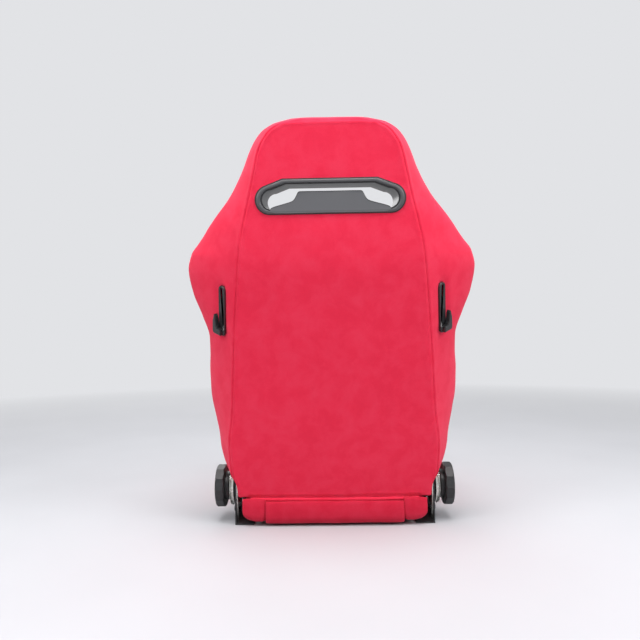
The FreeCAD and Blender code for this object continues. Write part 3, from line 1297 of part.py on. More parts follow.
def tail_piece(low_x, high_x, trim):
    """Return a tail of the cushion cover: from the rear tube, under the shaft and up behind the pivot."""
    wall = size("tail_wall")
    rear = PIVOT.y + size("tail_rear") - trim
    low = size("tail_bottom_z") + trim
    top = size("tail_top_z") - trim
    front = PIVOT.y + size("rear_tube_offset") + size("tube_radius") + 0.3
    tube_z = size("rear_tube_z")
    profile = [
        Vector(low_x, front, tube_z - 6), Vector(low_x, PIVOT.y + 26, low),
        Vector(low_x, rear - 6, low + 3), Vector(low_x, rear, low + 18),
        Vector(low_x, rear, top - 6), Vector(low_x, rear - wall * 0.45, top),
        Vector(low_x, rear - wall, top - 5),
        Vector(low_x, rear - wall, low + 19), Vector(low_x, rear - wall - 4, low + wall + 1),
        Vector(low_x, PIVOT.y + 26, low + wall), Vector(low_x, front, tube_z + 6),
    ]
    first, heel, sole, back, crest, ridge, fall, foot, bend, under, last = profile
    edges = [
        Part.LineSegment(first, heel).toShape(),
        Part.Arc(heel, sole - Z_AXIS * 0.5, back).toShape(),
        Part.LineSegment(back, crest).toShape(),
        Part.Arc(crest, ridge, fall).toShape(),
        Part.LineSegment(fall, foot).toShape(),
        Part.Arc(foot, bend, under).toShape(),
        Part.LineSegment(under, last).toShape(),
        Part.LineSegment(last, first).toShape(),
    ]
    return Part.Face(Part.Wire(edges)).extrude(X_AXIS * (high_x - low_x))


def cushion_tail():
    """Centre flap and side lobes at the rear of the cushion cover."""
    solid_feature("cushion_tail_flap", tail_piece(-size("tail_half"), size("tail_half"), 0))
    lobes = []
    for side in (LEFT, RIGHT):
        low, high = sorted((side * size("lobe_inner_x"), side * size("lobe_outer_x")))
        lobes.append(tail_piece(low, high, size("lobe_trim")))
    solid_feature("cushion_tail_lobes", Part.makeCompound(lobes))


cushion_insert()
thigh_roll()
rear_roll()
cushion_tail()
for side_name, sign in SIDES.items():
    cushion_bolster(f"cushion_bolster_{side_name}", sign)


doc.recompute()
for item in doc.Objects:
    if "Invalid" in item.State or "Error" in item.State:
        raise ValueError(f"{item.Label} failed")
for node_name, node in NODES.items():
    if node.Shape.isNull() or not node.Shape.isValid():
        raise ValueError(f"{node_name} has no valid shape")
for node_name, node in NODES.items():
    node.Shape.exportStep(f"parts/{node_name}.step")
print(len(NODES), "sub-parts written")
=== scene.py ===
"""Looks of a reclining sports seat with an integral headrest: suede cushions, trim and recliner metal."""

import logging
import math
from dataclasses import astuple, dataclass, field
from enum import Enum
from typing import Callable, Iterable, Sequence

import bmesh
import bpy
import numpy as np
from mathutils import Matrix, Vector, noise


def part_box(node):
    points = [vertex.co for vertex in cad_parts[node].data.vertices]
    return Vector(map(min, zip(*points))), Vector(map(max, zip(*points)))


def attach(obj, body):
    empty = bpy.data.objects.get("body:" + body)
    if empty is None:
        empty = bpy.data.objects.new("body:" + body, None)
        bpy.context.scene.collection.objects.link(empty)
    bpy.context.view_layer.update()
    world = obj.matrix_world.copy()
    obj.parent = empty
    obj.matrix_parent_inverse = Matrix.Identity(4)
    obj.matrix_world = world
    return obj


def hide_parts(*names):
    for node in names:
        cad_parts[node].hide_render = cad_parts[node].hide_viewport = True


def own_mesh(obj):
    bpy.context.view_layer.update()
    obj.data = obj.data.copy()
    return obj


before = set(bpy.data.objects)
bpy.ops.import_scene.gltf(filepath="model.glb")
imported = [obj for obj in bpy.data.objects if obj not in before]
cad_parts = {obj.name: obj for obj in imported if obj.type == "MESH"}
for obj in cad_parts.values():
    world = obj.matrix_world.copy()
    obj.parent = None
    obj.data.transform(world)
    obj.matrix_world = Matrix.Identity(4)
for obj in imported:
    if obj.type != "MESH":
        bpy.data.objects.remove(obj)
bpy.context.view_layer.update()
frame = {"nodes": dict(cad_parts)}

logging.basicConfig(level=logging.INFO, format="%(message)s")
log = logging.getLogger("seat")

# Metres in a millimetre, the gap under which points join, and the length under which an edge goes
MM = 0.001
WELD = 2e-5
SLIVER = 1e-6

Table = Sequence[Sequence[float]]
Faces = list[tuple[int, ...]]
Share = Callable[[np.ndarray], np.ndarray]


class Body(Enum):
    """Bodies of the frame that a piece rides on."""

    BASE = "base"
    ARMS = "recliner_arms"
    BACKREST = "backrest"


class Side(Enum):
    """The seat's two sides, with the sign of X."""

    LEFT = 1
    RIGHT = -1

    @property
    def word(self) -> str:
        """The side's word in a piece name."""
        return self.name.lower()


@dataclass(frozen=True)
class BackFrame:
    """The backrest's own frame: x across, w towards its rear, v up along it, in millimetres."""

    pivot_y: float = 215.0
    pivot_z: float = 75.0
    lean: float = math.radians(18)
    rear: float = 48.0
    fold: float = 499.0
    top: float = 762.0
    rear_top: float = 8.0
    fold_soft: float = 22.0
    split: float = -15.0
    head: float = 500.0
    head_lean: float = math.radians(4.35)

    def world(self, points: np.ndarray) -> np.ndarray:
        """Place points of this frame in the seat's frame.

        Args:
            points: Array whose last axis is x, w, v in millimetres.

        Returns:
            Array of the same shape in metres.
        """
        x, w, v = points[..., 0], points[..., 1], points[..., 2]
        sin, cos = math.sin(self.lean), math.cos(self.lean)
        return np.stack([x, self.pivot_y + v * sin + w * cos, self.pivot_z + v * cos - w * sin], -1) * MM

    def rear_plane(self, v: np.ndarray) -> np.ndarray:
        """Depth of the rear panel, with its soft fold under the head.

        Args:
            v: Heights along the backrest in millimetres.

        Returns:
            The depth w at each height.
        """
        slope = (self.rear_top - self.rear) / (self.top - self.fold)
        soft = self.fold_soft
        over = v - self.fold
        start = 0.5 * (np.sqrt(self.fold**2 + soft**2) - self.fold)
        ramp = 0.5 * (over + np.sqrt(over * over + soft * soft)) - start
        return self.rear + slope * np.maximum(ramp, 0)

    def split_plane(self, v: np.ndarray) -> np.ndarray:
        """Depth of the plane where the rear cover meets the front pads."""
        return self.split - np.maximum(v - self.head, 0) * math.tan(self.head_lean)


BACK = BackFrame()


def hermite(start: np.ndarray, leave: np.ndarray, end: np.ndarray, arrive: np.ndarray,
            t: np.ndarray) -> np.ndarray:
    """Curve from a start to an end.

    Args:
        start: Value at the start.
        leave: Slope at the start.
        end: Value at the end.
        arrive: Slope at the end.
        t: Shares of the way.

    Returns:
        The value at each share.
    """
    return (
        start * (2 * t**3 - 3 * t**2 + 1) + leave * (t**3 - 2 * t**2 + t)
        + end * (3 * t**2 - 2 * t**3) + arrive * (t**3 - t**2)
    )


def eased(share: np.ndarray) -> np.ndarray:
    """Let a share from 0 to 1 start and end softly."""
    return share * share * (3 - 2 * share)


def table_at(table: Table, places: np.ndarray) -> np.ndarray:
    """Read a station table between its rows, smoothly and without overshoot.

    Args:
        table: Rows of a place followed by its values.
        places: Places to read, inside the table.

    Returns:
        One row of values for each place.
    """
    data = np.array(table, float)
    x, y = data[:, 0], data[:, 1:]
    if x[0] > x[-1]:
        x, y = x[::-1], y[::-1]
    step = np.diff(x)[:, None]
    slope = np.diff(y, axis=0) / step
    tangent = np.zeros_like(y)
    before, after = slope[:-1], slope[1:]
    same = before * after > 0
    tangent[1:-1][same] = (2 * before * after)[same] / (before + after)[same]
    tangent[0], tangent[-1] = slope[0], slope[-1]
    places = np.clip(np.asarray(places, float), x[0], x[-1])
    k = np.clip(np.searchsorted(x, places, side="right") - 1, 0, len(x) - 2)
    h = step[k]
    t = (places[:, None] - x[k][:, None]) / h
    return hermite(y[k], tangent[k] * h, y[k + 1], tangent[k + 1] * h, t)


def spaced(*stops: tuple[float, float]) -> np.ndarray:
    """Places along a line whose spacing changes from stop to stop.

    Args:
        stops: Pairs of a place and the spacing up to the next stop.

    Returns:
        The places in order, each stop among them.
    """
    places: list[float] = []
    for (low, gap), (high, _) in zip(stops, stops[1:]):
        count = max(1, round(abs(high - low) / gap))
        places.extend(np.linspace(low, high, count, endpoint=False))
    return np.array(places + [stops[-1][0]])


def spline_loop(corners: np.ndarray, sharp: Iterable[int], count: int) -> np.ndarray:
    """Draw a closed line through corners, round except at the sharp ones.

    Args:
        corners: Corner points, one row each.
        sharp: Numbers of the corners where the line breaks.
        count: Points on each run between two corners.

    Returns:
        Points of the loop, without the first one repeated.
    """
    sharp = set(sharp)
    total = len(corners)
    tiny = 1e-9
    runs = []
    for k in range(total):
        p1, p2 = corners[k], corners[(k + 1) % total]
        chord = p2 - p1
        m1 = chord if k in sharp else (p2 - corners[k - 1]) * 0.5
        m2 = chord if (k + 1) % total in sharp else (corners[(k + 2) % total] - p1) * 0.5
        length = np.linalg.norm(chord)
        m1 = m1 / (np.linalg.norm(m1) + tiny) * length
        m2 = m2 / (np.linalg.norm(m2) + tiny) * length
        t = np.linspace(0, 1, count, endpoint=False)[:, None]
        runs.append(hermite(p1, m1, p2, m2, t))
    return np.concatenate(runs)


def new_object(name: str, points: np.ndarray, faces: Faces) -> bpy.types.Object:
    """Make a smooth-shaded mesh object whose place is in its mesh.

    Args:
        name: Name of the piece.
        points: Points in metres.
        faces: Point numbers of each face.

    Returns:
        The new object.
    """
    mesh = bpy.data.meshes.new(name)
    mesh.from_pydata([tuple(p) for p in points], [], faces)
    bm = bmesh.new()
    bm.from_mesh(mesh)
    bmesh.ops.remove_doubles(bm, verts=bm.verts, dist=WELD)
    bmesh.ops.dissolve_degenerate(bm, edges=bm.edges, dist=SLIVER)
    bmesh.ops.recalc_face_normals(bm, faces=bm.faces)
    bm.to_mesh(mesh)
    bm.free()
    mesh.polygons.foreach_set("use_smooth", [True] * len(mesh.polygons))
    piece = bpy.data.objects.new(name, mesh)
    bpy.context.scene.collection.objects.link(piece)
    return piece


def grid_faces(rows: int, columns: int, wrap: bool, ends: bool) -> Faces:
    """Faces of a grid of points.

    Args:
        rows: Number of rows.
        columns: Points in each row.
        wrap: Whether each row closes on itself.
        ends: Whether the first and last rows are closed by a face.

    Returns:
        The faces as point numbers.
    """
    faces: Faces = []
    across = columns if wrap else columns - 1
    for r in range(rows - 1):
        for c in range(across):
            d = (c + 1) % columns
            faces.append((r * columns + c, r * columns + d, (r + 1) * columns + d, (r + 1) * columns + c))
    if ends:
        faces.append(tuple(range(columns - 1, -1, -1)))
        faces.append(tuple(range((rows - 1) * columns, rows * columns)))
    return faces


def ring_rows(name: str, rows: Sequence[np.ndarray], ends: bool = True) -> bpy.types.Object:
    """Make a piece from closed rings of points.

    Args:
        name: Name of the piece.
        rows: Rings with the same number of points, in metres.
        ends: Whether the first and last rings are closed by a face.

    Returns:
        The piece.
    """
    grid = np.array(rows)
    return new_object(name, grid.reshape(-1, 3), grid_faces(len(rows), grid.shape[1], True, ends))


def shade_by_angle(piece: bpy.types.Object, limit: float = 34.0) -> None:
    """Keep a piece's edges sharper than a limit, in degrees, crisp and the rest smooth."""
    piece.data.set_sharp_from_angle(angle=math.radians(limit))


def table_line(table: Table, count: int) -> np.ndarray:
    """Draw an open line through a table's points, round at each of them.

    Args:
        table: Corners of the line.
        count: Points on each run between two corners.

    Returns:
        Points of the line, both ends among them.
    """
    corners = np.array(table, float)
    loop = spline_loop(corners, (0, len(corners) - 1), count)
    return np.concatenate([loop[: (len(corners) - 1) * count], corners[-1:]])


def modify(piece: bpy.types.Object, kind: str, **settings: object) -> None:
    """Add a modifier to a piece and apply it at once.

    Args:
        piece: The piece.
        kind: The modifier's type.
        settings: Its properties.
    """
    modifier = piece.modifiers.new(kind.title(), kind)
    for key, value in settings.items():
        setattr(modifier, key, value)
    depsgraph = bpy.context.evaluated_depsgraph_get()
    depsgraph.update()
    mesh = bpy.data.meshes.new_from_object(piece.evaluated_get(depsgraph))
    old = piece.data
    piece.modifiers.clear()
    piece.data = mesh
    bpy.data.meshes.remove(old)
    mesh.name = piece.name
    mesh.polygons.foreach_set("use_smooth", [True] * len(mesh.polygons))


def points_of(piece: bpy.types.Object) -> np.ndarray:
    """Read the points of a piece's mesh.

    Args:
        piece: The piece.

    Returns:
        The points in metres.
    """
    co = np.empty(len(piece.data.vertices) * 3, np.float32)
    piece.data.vertices.foreach_get("co", co)
    return co.reshape(-1, 3).astype(float)


def normals_of(piece: bpy.types.Object) -> np.ndarray:
    """Read the normals at the points of a piece's mesh.

    Args:
        piece: The piece.

    Returns:
        One unit vector for each point.
    """
    data = np.empty(len(piece.data.vertices) * 3, np.float32)
    piece.data.vertex_normals.foreach_get("vector", data)
    return data.reshape(-1, 3).astype(float)


def set_points(piece: bpy.types.Object, points: np.ndarray) -> None:
    """Put a piece's points back after a move."""
    piece.data.vertices.foreach_set("co", points.astype(np.float32).ravel())
    piece.data.update()


def wander(points: np.ndarray, size: float, seed: float) -> np.ndarray:
    """Smooth noise from -1 to 1 at points, with features of a size in metres."""
    shift = Vector((seed * 7.3, seed * 3.1, seed * 5.7))
    return np.array([noise.noise(Vector(p) / size + shift) for p in points])


def line_distance(points: np.ndarray, line: np.ndarray) -> np.ndarray:
    """Distance of each point to a line of straight runs.

    Args:
        points: Points, one row each.
        line: Corners of the line.

    Returns:
        One distance for each point.
    """
    best = np.full(len(points), np.inf)
    for a, b in zip(line, line[1:]):
        run = b - a
        t = np.clip(((points - a) @ run) / (run @ run), 0, 1)
        best = np.minimum(best, np.linalg.norm(points - a - t[:, None] * run, axis=1))
    return best


@dataclass(frozen=True)
class Seam:
    """How a sewn seam presses into padded suede, in millimetres.

    The ridge beside the groove has a height as a share of the groove's depth, and its place and width are
    counted in widths of the groove.
    """

    depth: float = 1.8
    width: float = 2.4
    pucker: float = 0.5
    reach: float = 16.0
    gather: float = 9.0
    stitch: float = 3.0
    ridge: float = 0.22
    ridge_place: float = 2.4
    ridge_width: float = 1.6

    def press(self, piece: bpy.types.Object, lines: Sequence[np.ndarray], seed: float = 1.0) -> None:
        """Press seams into a piece and pucker the suede beside them.

        Args:
            piece: The padded piece.
            lines: The seams' lines, in metres.
            seed: Shift of the noise, so that pieces differ.
        """
        points, normals = points_of(piece), normals_of(piece)
        distance = np.min([line_distance(points, line) for line in lines], axis=0) / MM
        near = distance < self.reach * 3
        groove = np.exp(-((distance / self.width) ** 2)) * -self.depth
        beside = (distance - self.width * self.ridge_place) / (self.width * self.ridge_width)
        ridge = np.exp(-(beside**2)) * self.depth * self.ridge
        gathers = np.zeros(len(points))
        gathers[near] = wander(points[near], self.gather * MM, seed)
        fade = np.exp(-distance / self.reach) * (1 - np.exp(-distance / self.stitch))
        move = groove + ridge + gathers * fade * self.pucker
        set_points(piece, points + normals * (move * MM)[:, None])


@dataclass(frozen=True)
class Ease:
    """Slow swells that keep a stuffed surface from looking machined.

    Heights are in millimetres and sizes in metres.
    """

    height: float = 0.9
    size: float = 0.075
    fine_height: float = 0.25
    fine_size: float = 0.021
    fine_seed: float = 9.0

    def apply(self, piece: bpy.types.Object, seed: float, where: Share | None = None) -> None:
        """Move a piece's points along their normals by slow noise.

        Args:
            piece: The padded piece.
            seed: Shift of the noise.
            where: Gives a share of the move for each point, or None for all of it.
        """
        points, normals = points_of(piece), normals_of(piece)
        slow = wander(points, self.size, seed) * self.height
        fine = wander(points, self.fine_size, seed + self.fine_seed) * self.fine_height
        move = slow + fine
        if where is not None:
            move = move * where(points)
        set_points(piece, points + normals * (move * MM)[:, None])


class Draft:
    """Shorthand for building a node tree from left to right."""

    def __init__(self, tree: bpy.types.NodeTree) -> None:
        """Start on an empty tree."""
        self.tree = tree
        self.tree.nodes.clear()

    def node(self, kind: str, inputs: dict[str | int, object] | None = None, **settings: object
             ) -> bpy.types.Node:
        """Add a node, set its properties and feed its inputs.

        Args:
            kind: The node's type.
            inputs: Values or sockets by input name or number.
            settings: Properties of the node.

        Returns:
            The node.
        """
        made = self.tree.nodes.new(kind)
        for key, value in settings.items():
            setattr(made, key, value)
        for key, value in (inputs or {}).items():
            socket = made.inputs[key]
            if isinstance(value, bpy.types.NodeSocket):
                self.tree.links.new(value, socket)
            else:
                socket.default_value = value
        return made

    def maths(self, operation: str, a: object, b: object = 0.0, clamp: bool = False) -> bpy.types.NodeSocket:
        """Combine two numbers."""
        return self.node("ShaderNodeMath", {0: a, 1: b}, operation=operation, use_clamp=clamp).outputs[0]

    def spread(self, value: object, low: float, high: float, to_low: float, to_high: float
               ) -> bpy.types.NodeSocket:
        """Map a range of numbers to another, held at its ends."""
        places = {"Value": value, "From Min": low, "From Max": high, "To Min": to_low, "To Max": to_high}
        return self.node("ShaderNodeMapRange", places).outputs["Result"]

    def blend(self, share: object, a: object, b: object, mode: str = "MIX") -> bpy.types.NodeSocket:
        """Mix two colours by a share."""
        mix = self.node("ShaderNodeMix", {0: share, 6: a, 7: b}, data_type="RGBA", blend_type=mode)
        return mix.outputs[2]

    def place(self) -> bpy.types.NodeSocket:
        """Place on the piece, in metres."""
        return self.node("ShaderNodeTexCoord").outputs["Object"]

    def join(self, source: bpy.types.NodeSocket, target: bpy.types.NodeSocket) -> None:
        """Feed a socket from another."""
        self.tree.links.new(source, target)

    def noise(self, place: object, scale: object, detail: float = 3.0, rough: float = 0.5
              ) -> bpy.types.NodeSocket:
        """Cloudy noise at a place."""
        inputs = {"Vector": place, "Scale": scale, "Detail": detail, "Roughness": rough}
        return self.node("ShaderNodeTexNoise", inputs).outputs["Fac"]

    def vector(self, operation: str, inputs: dict[str | int, object], output: int | str = 0
               ) -> bpy.types.NodeSocket:
        """Combine vectors."""
        return self.node("ShaderNodeVectorMath", inputs, operation=operation).outputs[output]

    def stretched(self, place: object, scale: tuple[float, float, float]) -> bpy.types.NodeSocket:
        """Stretch a place by a factor along each axis."""
        return self.node("ShaderNodeMapping", {"Vector": place, "Scale": scale}).outputs[0]


def rgb(code: str) -> tuple[float, float, float, float]:
    """Turn a written colour into the renderer's linear values.

    Args:
        code: Six hexadecimal digits.

    Returns:
        Red, green, blue and an opacity of 1.
    """
    shares = [int(code[k : k + 2], 16) / 255 for k in (0, 2, 4)]
    red, green, blue = (c / 12.92 if c <= 0.04045 else ((c + 0.055) / 1.055) ** 2.4 for c in shares)
    return (red, green, blue, 1.0)


def new_group(name: str, inputs: dict[str, tuple[str, object]], outputs: dict[str, str]
              ) -> tuple[Draft, dict, dict]:
    """Start a shader node group with named sockets.

    Args:
        name: Name of the group.
        inputs: Socket kind and default by name.
        outputs: Socket kind by name.

    Returns:
        The draft, the input sockets by name and the output sockets by name.
    """
    tree = bpy.data.node_groups.new(name, "ShaderNodeTree")
    for key, (kind, default) in inputs.items():
        socket = tree.interface.new_socket(name=key, in_out="INPUT", socket_type=f"NodeSocket{kind}")
        socket.default_value = default
    for key, kind in outputs.items():
        tree.interface.new_socket(name=key, in_out="OUTPUT", socket_type=f"NodeSocket{kind}")
    draft = Draft(tree)
    entry, end = draft.node("NodeGroupInput"), draft.node("NodeGroupOutput")
    return draft, dict(entry.outputs.items()), dict(end.inputs.items())


class Effects:
    """Shader node groups that more than one finish uses, each built once."""

    def __init__(self) -> None:
        """Build the groups."""
        self.nap = self._nap()
        self.grain = self._grain()
        self.wear = self._wear()

    @staticmethod
    def _nap() -> bpy.types.NodeTree:
        """Build the brushed nap of suede: blotches where the pile lies differently, and its fibres.

        Returns:
            The group, with a colour, a roughness and a height.
        """
        inputs = {
            "Pile": ("Color", rgb("d2243f")), "Lifted": ("Color", rgb("e4506a")),
            "Pressed": ("Color", rgb("b3162f")), "Blotch": ("Float", 9.0), "Contrast": ("Float", 0.6),
            "Fibre": ("Float", 1500.0),
        }
        outputs = {"Color": "Color", "Roughness": "Float", "Height": "Float"}
        draft, given, out = new_group("suede_nap", inputs, outputs)
        place = draft.place()
        bend = draft.node("ShaderNodeTexNoise", {"Vector": place, "Scale": 14.0, "Detail": 2.0})
        offset = draft.vector("SUBTRACT", {0: bend.outputs["Color"], 1: (0.5, 0.5, 0.5)})
        small = draft.vector("SCALE", {0: offset, "Scale": 0.05})
        bent = draft.vector("ADD", {0: place, 1: small})
        blotch = draft.noise(bent, given["Blotch"], 4.0, 0.62)
        strokes = draft.noise(draft.stretched(bent, (1.0, 1.0, 0.45)), 46.0, 3.0, 0.6)
        raised = draft.spread(blotch, 0.42, 0.66, 0.0, 0.62)
        lift = draft.maths("ADD", raised, draft.spread(strokes, 0.45, 0.75, 0.0, 0.3))
        lift = draft.maths("MULTIPLY", lift, given["Contrast"], clamp=True)
        flat = draft.spread(blotch, 0.5, 0.34, 0.0, 0.6)
        press = draft.maths("MULTIPLY", flat, given["Contrast"], clamp=True)
        color = draft.blend(press, draft.blend(lift, given["Pile"], given["Lifted"]), given["Pressed"])
        fibre = draft.noise(place, given["Fibre"], 2.0)
        speck = draft.spread(fibre, 0.3, 0.7, 0.93, 1.05)
        tone = draft.node("ShaderNodeCombineColor", {0: speck, 1: speck, 2: speck}).outputs[0]
        color = draft.blend(1.0, color, tone, "MULTIPLY")
        draft.join(color, out["Color"])
        draft.join(draft.spread(blotch, 0.35, 0.65, 0.98, 0.88), out["Roughness"])
        tufts = draft.noise(place, 420.0, 3.0, 0.6)
        fine = draft.maths("MULTIPLY", fibre, 0.55)
        draft.join(draft.maths("ADD", fine, draft.maths("MULTIPLY", tufts, 0.45)), out["Height"])
        return draft.tree

    @staticmethod
    def _grain() -> bpy.types.NodeTree:
        """Build a fine moulded grain with slow changes of gloss, as on plastic trim and powder paint.

        Returns:
            The group, with a roughness and a height.
        """
        draft, given, out = new_group(
            "moulded_grain",
            {"Size": ("Float", 900.0), "Gloss": ("Float", 0.45), "Change": ("Float", 0.08)},
            {"Roughness": "Float", "Height": "Float"},
        )
        place = draft.place()
        pattern = {"Vector": place, "Scale": given["Size"], "Smoothness": 0.6}
        cells = draft.node("ShaderNodeTexVoronoi", pattern, feature="SMOOTH_F1").outputs["Distance"]
        cloud = draft.maths("SUBTRACT", draft.noise(place, 38.0, 4.0, 0.6), 0.5)
        change = draft.maths("MULTIPLY", cloud, given["Change"])
        gloss = draft.maths("ADD", given["Gloss"], change, clamp=True)
        draft.join(gloss, out["Roughness"])
        draft.join(cells, out["Height"])
        return draft.tree

    @staticmethod
    def _wear() -> bpy.types.NodeTree:
        """Build a mask of rubbed edges, broken up by noise.

        Returns:
            The group, with the mask.
        """
        draft, given, out = new_group(
            "edge_wear", {"Reach": ("Float", 0.6), "Break": ("Float", 160.0)}, {"Mask": "Float"}
        )
        place = draft.place()
        point = draft.node("ShaderNodeNewGeometry").outputs["Pointiness"]
        edge = draft.spread(point, 0.515, 0.6, 0.0, 1.0)
        breaks = draft.noise(place, given["Break"], 4.0)
        mask = draft.maths("MULTIPLY", edge, draft.spread(breaks, 0.4, 0.62, 0.0, 1.0))
        draft.join(draft.maths("MULTIPLY", mask, given["Reach"], clamp=True), out["Mask"])
        return draft.tree


def place_group(draft: Draft, group: bpy.types.NodeTree, values: dict[str, object]) -> bpy.types.Node:
    """Place a shared group in a material.

    Args:
        draft: The material's draft.
        group: The group.
        values: The material's own values by input name.

    Returns:
        The group's node.
    """
    made = draft.tree.nodes.new("ShaderNodeGroup")
    made.node_tree = group
    for key, value in values.items():
        made.inputs[key].default_value = value
    return made


def finish_material(name: str, shader: dict[str, object]) -> tuple[bpy.types.Material, Draft, bpy.types.Node]:
    """Start a material with a principled shader and its plain values.

    Args:
        name: Name of the material.
        shader: Plain values by socket name.

    Returns:
        The material, its draft and its shader node.
    """
    material = bpy.data.materials.new(name)
    material.use_nodes = True
    draft = Draft(material.node_tree)
    surface = draft.node("ShaderNodeBsdfPrincipled", shader)
    draft.node("ShaderNodeOutputMaterial", {"Surface": surface.outputs[0]})
    return material, draft, surface


def cover_surface(draft: Draft, surface: bpy.types.Node, color: bpy.types.NodeSocket,
                  roughness: bpy.types.NodeSocket, height: bpy.types.NodeSocket, strength: float,
                  distance: float) -> None:
    """Feed a shader its colour, its roughness and a bump.

    Args:
        draft: The material's draft.
        surface: The shader.
        color: Colour over the surface.
        roughness: Roughness over the surface.
        height: Height of the bump over the surface.
        strength: Strength of the bump.
        distance: Depth of the bump in metres.
    """
    bump = draft.node("ShaderNodeBump", {"Strength": strength, "Distance": distance, "Height": height})
    for source, target in ((color, "Base Color"), (roughness, "Roughness"), (bump.outputs[0], "Normal")):
        draft.join(source, surface.inputs[target])


@dataclass(frozen=True)
class Suede:
    """Red brushed suede."""

    name: str = "suede_red"
    pile: str = "dd2a46"
    lifted: str = "ea506b"
    pressed: str = "c61d37"
    blotch: float = 30.0
    contrast: float = 0.22
    sheen: float = 0.45
    sheen_tint: str = "ff8fa3"
    sheen_spread: float = 0.42
    specular: float = 0.12
    bump: float = 0.35
    bump_depth: float = 0.0006

    def build(self, effects: Effects) -> bpy.types.Material:
        """Make the material.

        Args:
            effects: The shared groups.

        Returns:
            The material.
        """
        plain = {"Sheen Weight": self.sheen, "Sheen Roughness": self.sheen_spread,
                 "Sheen Tint": rgb(self.sheen_tint), "Specular IOR Level": self.specular}
        material, draft, surface = finish_material(self.name, plain)
        values = {"Pile": rgb(self.pile), "Lifted": rgb(self.lifted), "Pressed": rgb(self.pressed),
                  "Blotch": self.blotch, "Contrast": self.contrast}
        nap = place_group(draft, effects.nap, values)
        color, roughness, height = (nap.outputs[key] for key in ("Color", "Roughness", "Height"))
        cover_surface(draft, surface, color, roughness, height, self.bump, self.bump_depth)
        return material


@dataclass(frozen=True)
class Moulded:
    """Moulded plastic or powder paint with fine grain and rubbed edges."""

    name: str
    color: str
    rubbed: str
    gloss: float = 0.45
    change: float = 0.1
    grain: float = 900.0
    bump: float = 0.12
    bump_depth: float = 0.0004
    wear: float = 0.35
    specular: float = 0.5

    def build(self, effects: Effects) -> bpy.types.Material:
        """Make the material.

        Args:
            effects: The shared groups.

        Returns:
            The material.
        """
        material, draft, surface = finish_material(self.name, {"Specular IOR Level": self.specular})
        values = {"Size": self.grain, "Gloss": self.gloss, "Change": self.change}
        grain = place_group(draft, effects.grain, values)
        wear = place_group(draft, effects.wear, {"Reach": self.wear})
        color = draft.blend(wear.outputs["Mask"], rgb(self.color), rgb(self.rubbed))
        roughness, height = grain.outputs["Roughness"], grain.outputs["Height"]
        cover_surface(draft, surface, color, roughness, height, self.bump, self.bump_depth)
        return material


@dataclass(frozen=True)
class Metal:
    """Bare or plated metal with slow tarnish, fine scratches and a lighter edge."""

    name: str
    color: str
    tarnish: str
    gloss: float = 0.3
    change: float = 0.12
    tarnish_share: float = 0.5
    scratch: tuple[float, float, float] = (1.0, 1.0, 12.0)
    metallic: float = 1.0
    grain: float = 260.0
    wear: float = 0.5
    bump: float = 0.1
    bump_depth: float = 0.0003

    def build(self, effects: Effects) -> bpy.types.Material:
        """Make the material.

        Args:
            effects: The shared groups.

        Returns:
            The material.
        """
        material, draft, surface = finish_material(self.name, {"Metallic": self.metallic})
        values = {"Size": self.grain, "Gloss": self.gloss, "Change": self.change}
        grain = place_group(draft, effects.grain, values)
        wear = place_group(draft, effects.wear, {"Reach": self.wear})
        place = draft.place()
        cloud = draft.spread(draft.noise(place, 55.0, 5.0, 0.62), 0.42, 0.68, 0.0, self.tarnish_share)
        color = draft.blend(cloud, rgb(self.color), rgb(self.tarnish))
        color = draft.blend(wear.outputs["Mask"], color, rgb(self.color))
        lines = draft.noise(draft.stretched(place, self.scratch), 420.0, 2.0, 0.5)
        cover_surface(draft, surface, color, grain.outputs["Roughness"], lines, self.bump, self.bump_depth)
        return material


FINISHES: dict[str, Suede | Moulded | Metal] = {
    "suede": Suede(),
    # A darker copy of the red suede for the cushion's tail: painted shade where the backrest overhangs it.
    "suede_tail": Suede("suede_red_tail", "b91e36", "d0405b", "a3152c"),
    "black_plastic": Moulded("satin_black_plastic", "1b1b1d", "3a3a3d", gloss=0.42, wear=0.3),
    # Grey for the faces of the black plastic bezels: painted reflection of the lamps, not the part's own
    # colour.
    "grey_trim": Moulded("black_bezel_painted_grey_reflection", "474749", "626264", gloss=0.4, wear=0.4),
    "grey_plate": Moulded("satin_grey_plate", "535356", "68686c", gloss=0.36, change=0.14, wear=0.2),
    # Black plastic tinted dark red: a painted reflection of the red suede in the glossy escutcheon rims.
    "oxblood_rim": Moulded("black_rim_painted_red_reflection", "2a0f14", "4a1c22", gloss=0.36, wear=0.3),
    "zinc": Metal("bright_zinc", "cfd0cb", "a9a89c", gloss=0.26),
    "black_paint": Moulded(
        "black_powder_paint", "17181a", "45474a", gloss=0.55, grain=600.0, bump=0.2, wear=0.5
    ),
    "spring_steel": Metal("oiled_spring_steel", "6f7073", "3b3a38", gloss=0.34),
    "bolt_black": Metal("black_oxide_bolt", "34353a", "1d1d20", gloss=0.38, metallic=0.85),
    "cable_sheath": Moulded("black_cable_sheath", "141416", "2a2a2d", gloss=0.6, grain=1400.0, wear=0.1),
}


class Wardrobe:
    """The finishes as materials, and the dressing of the frame's own pieces in them."""

    def __init__(self, effects: Effects) -> None:
        """Build each finish once."""
        self.materials = {slot: finish.build(effects) for slot, finish in FINISHES.items()}

    def dress(self, piece: bpy.types.Object, slot: str, finish: str | None = None) -> None:
        """Give a new piece one finish, its slot's own unless another is given.

        Args:
            piece: The piece.
            slot: The record's material slot.
            finish: Name of the finish where it isn't the slot's own.
        """
        piece.data.materials.clear()
        piece.data.materials.append(self.materials[finish or slot])

    def dress_frame(self, nodes: dict[str, bpy.types.Object]) -> None:
        """Give each material slot of the frame's pieces its finish.

        Args:
            nodes: The frame's pieces by node name.
        """
        for name, node in nodes.items():
            for k, place in enumerate(node.material_slots):
                slot = place.material.name.split(".")[0]
                if slot not in self.materials:
                    log.warning("no finish for %s on %s", slot, name)
                    continue
                node.data.materials[k] = self.materials[slot]


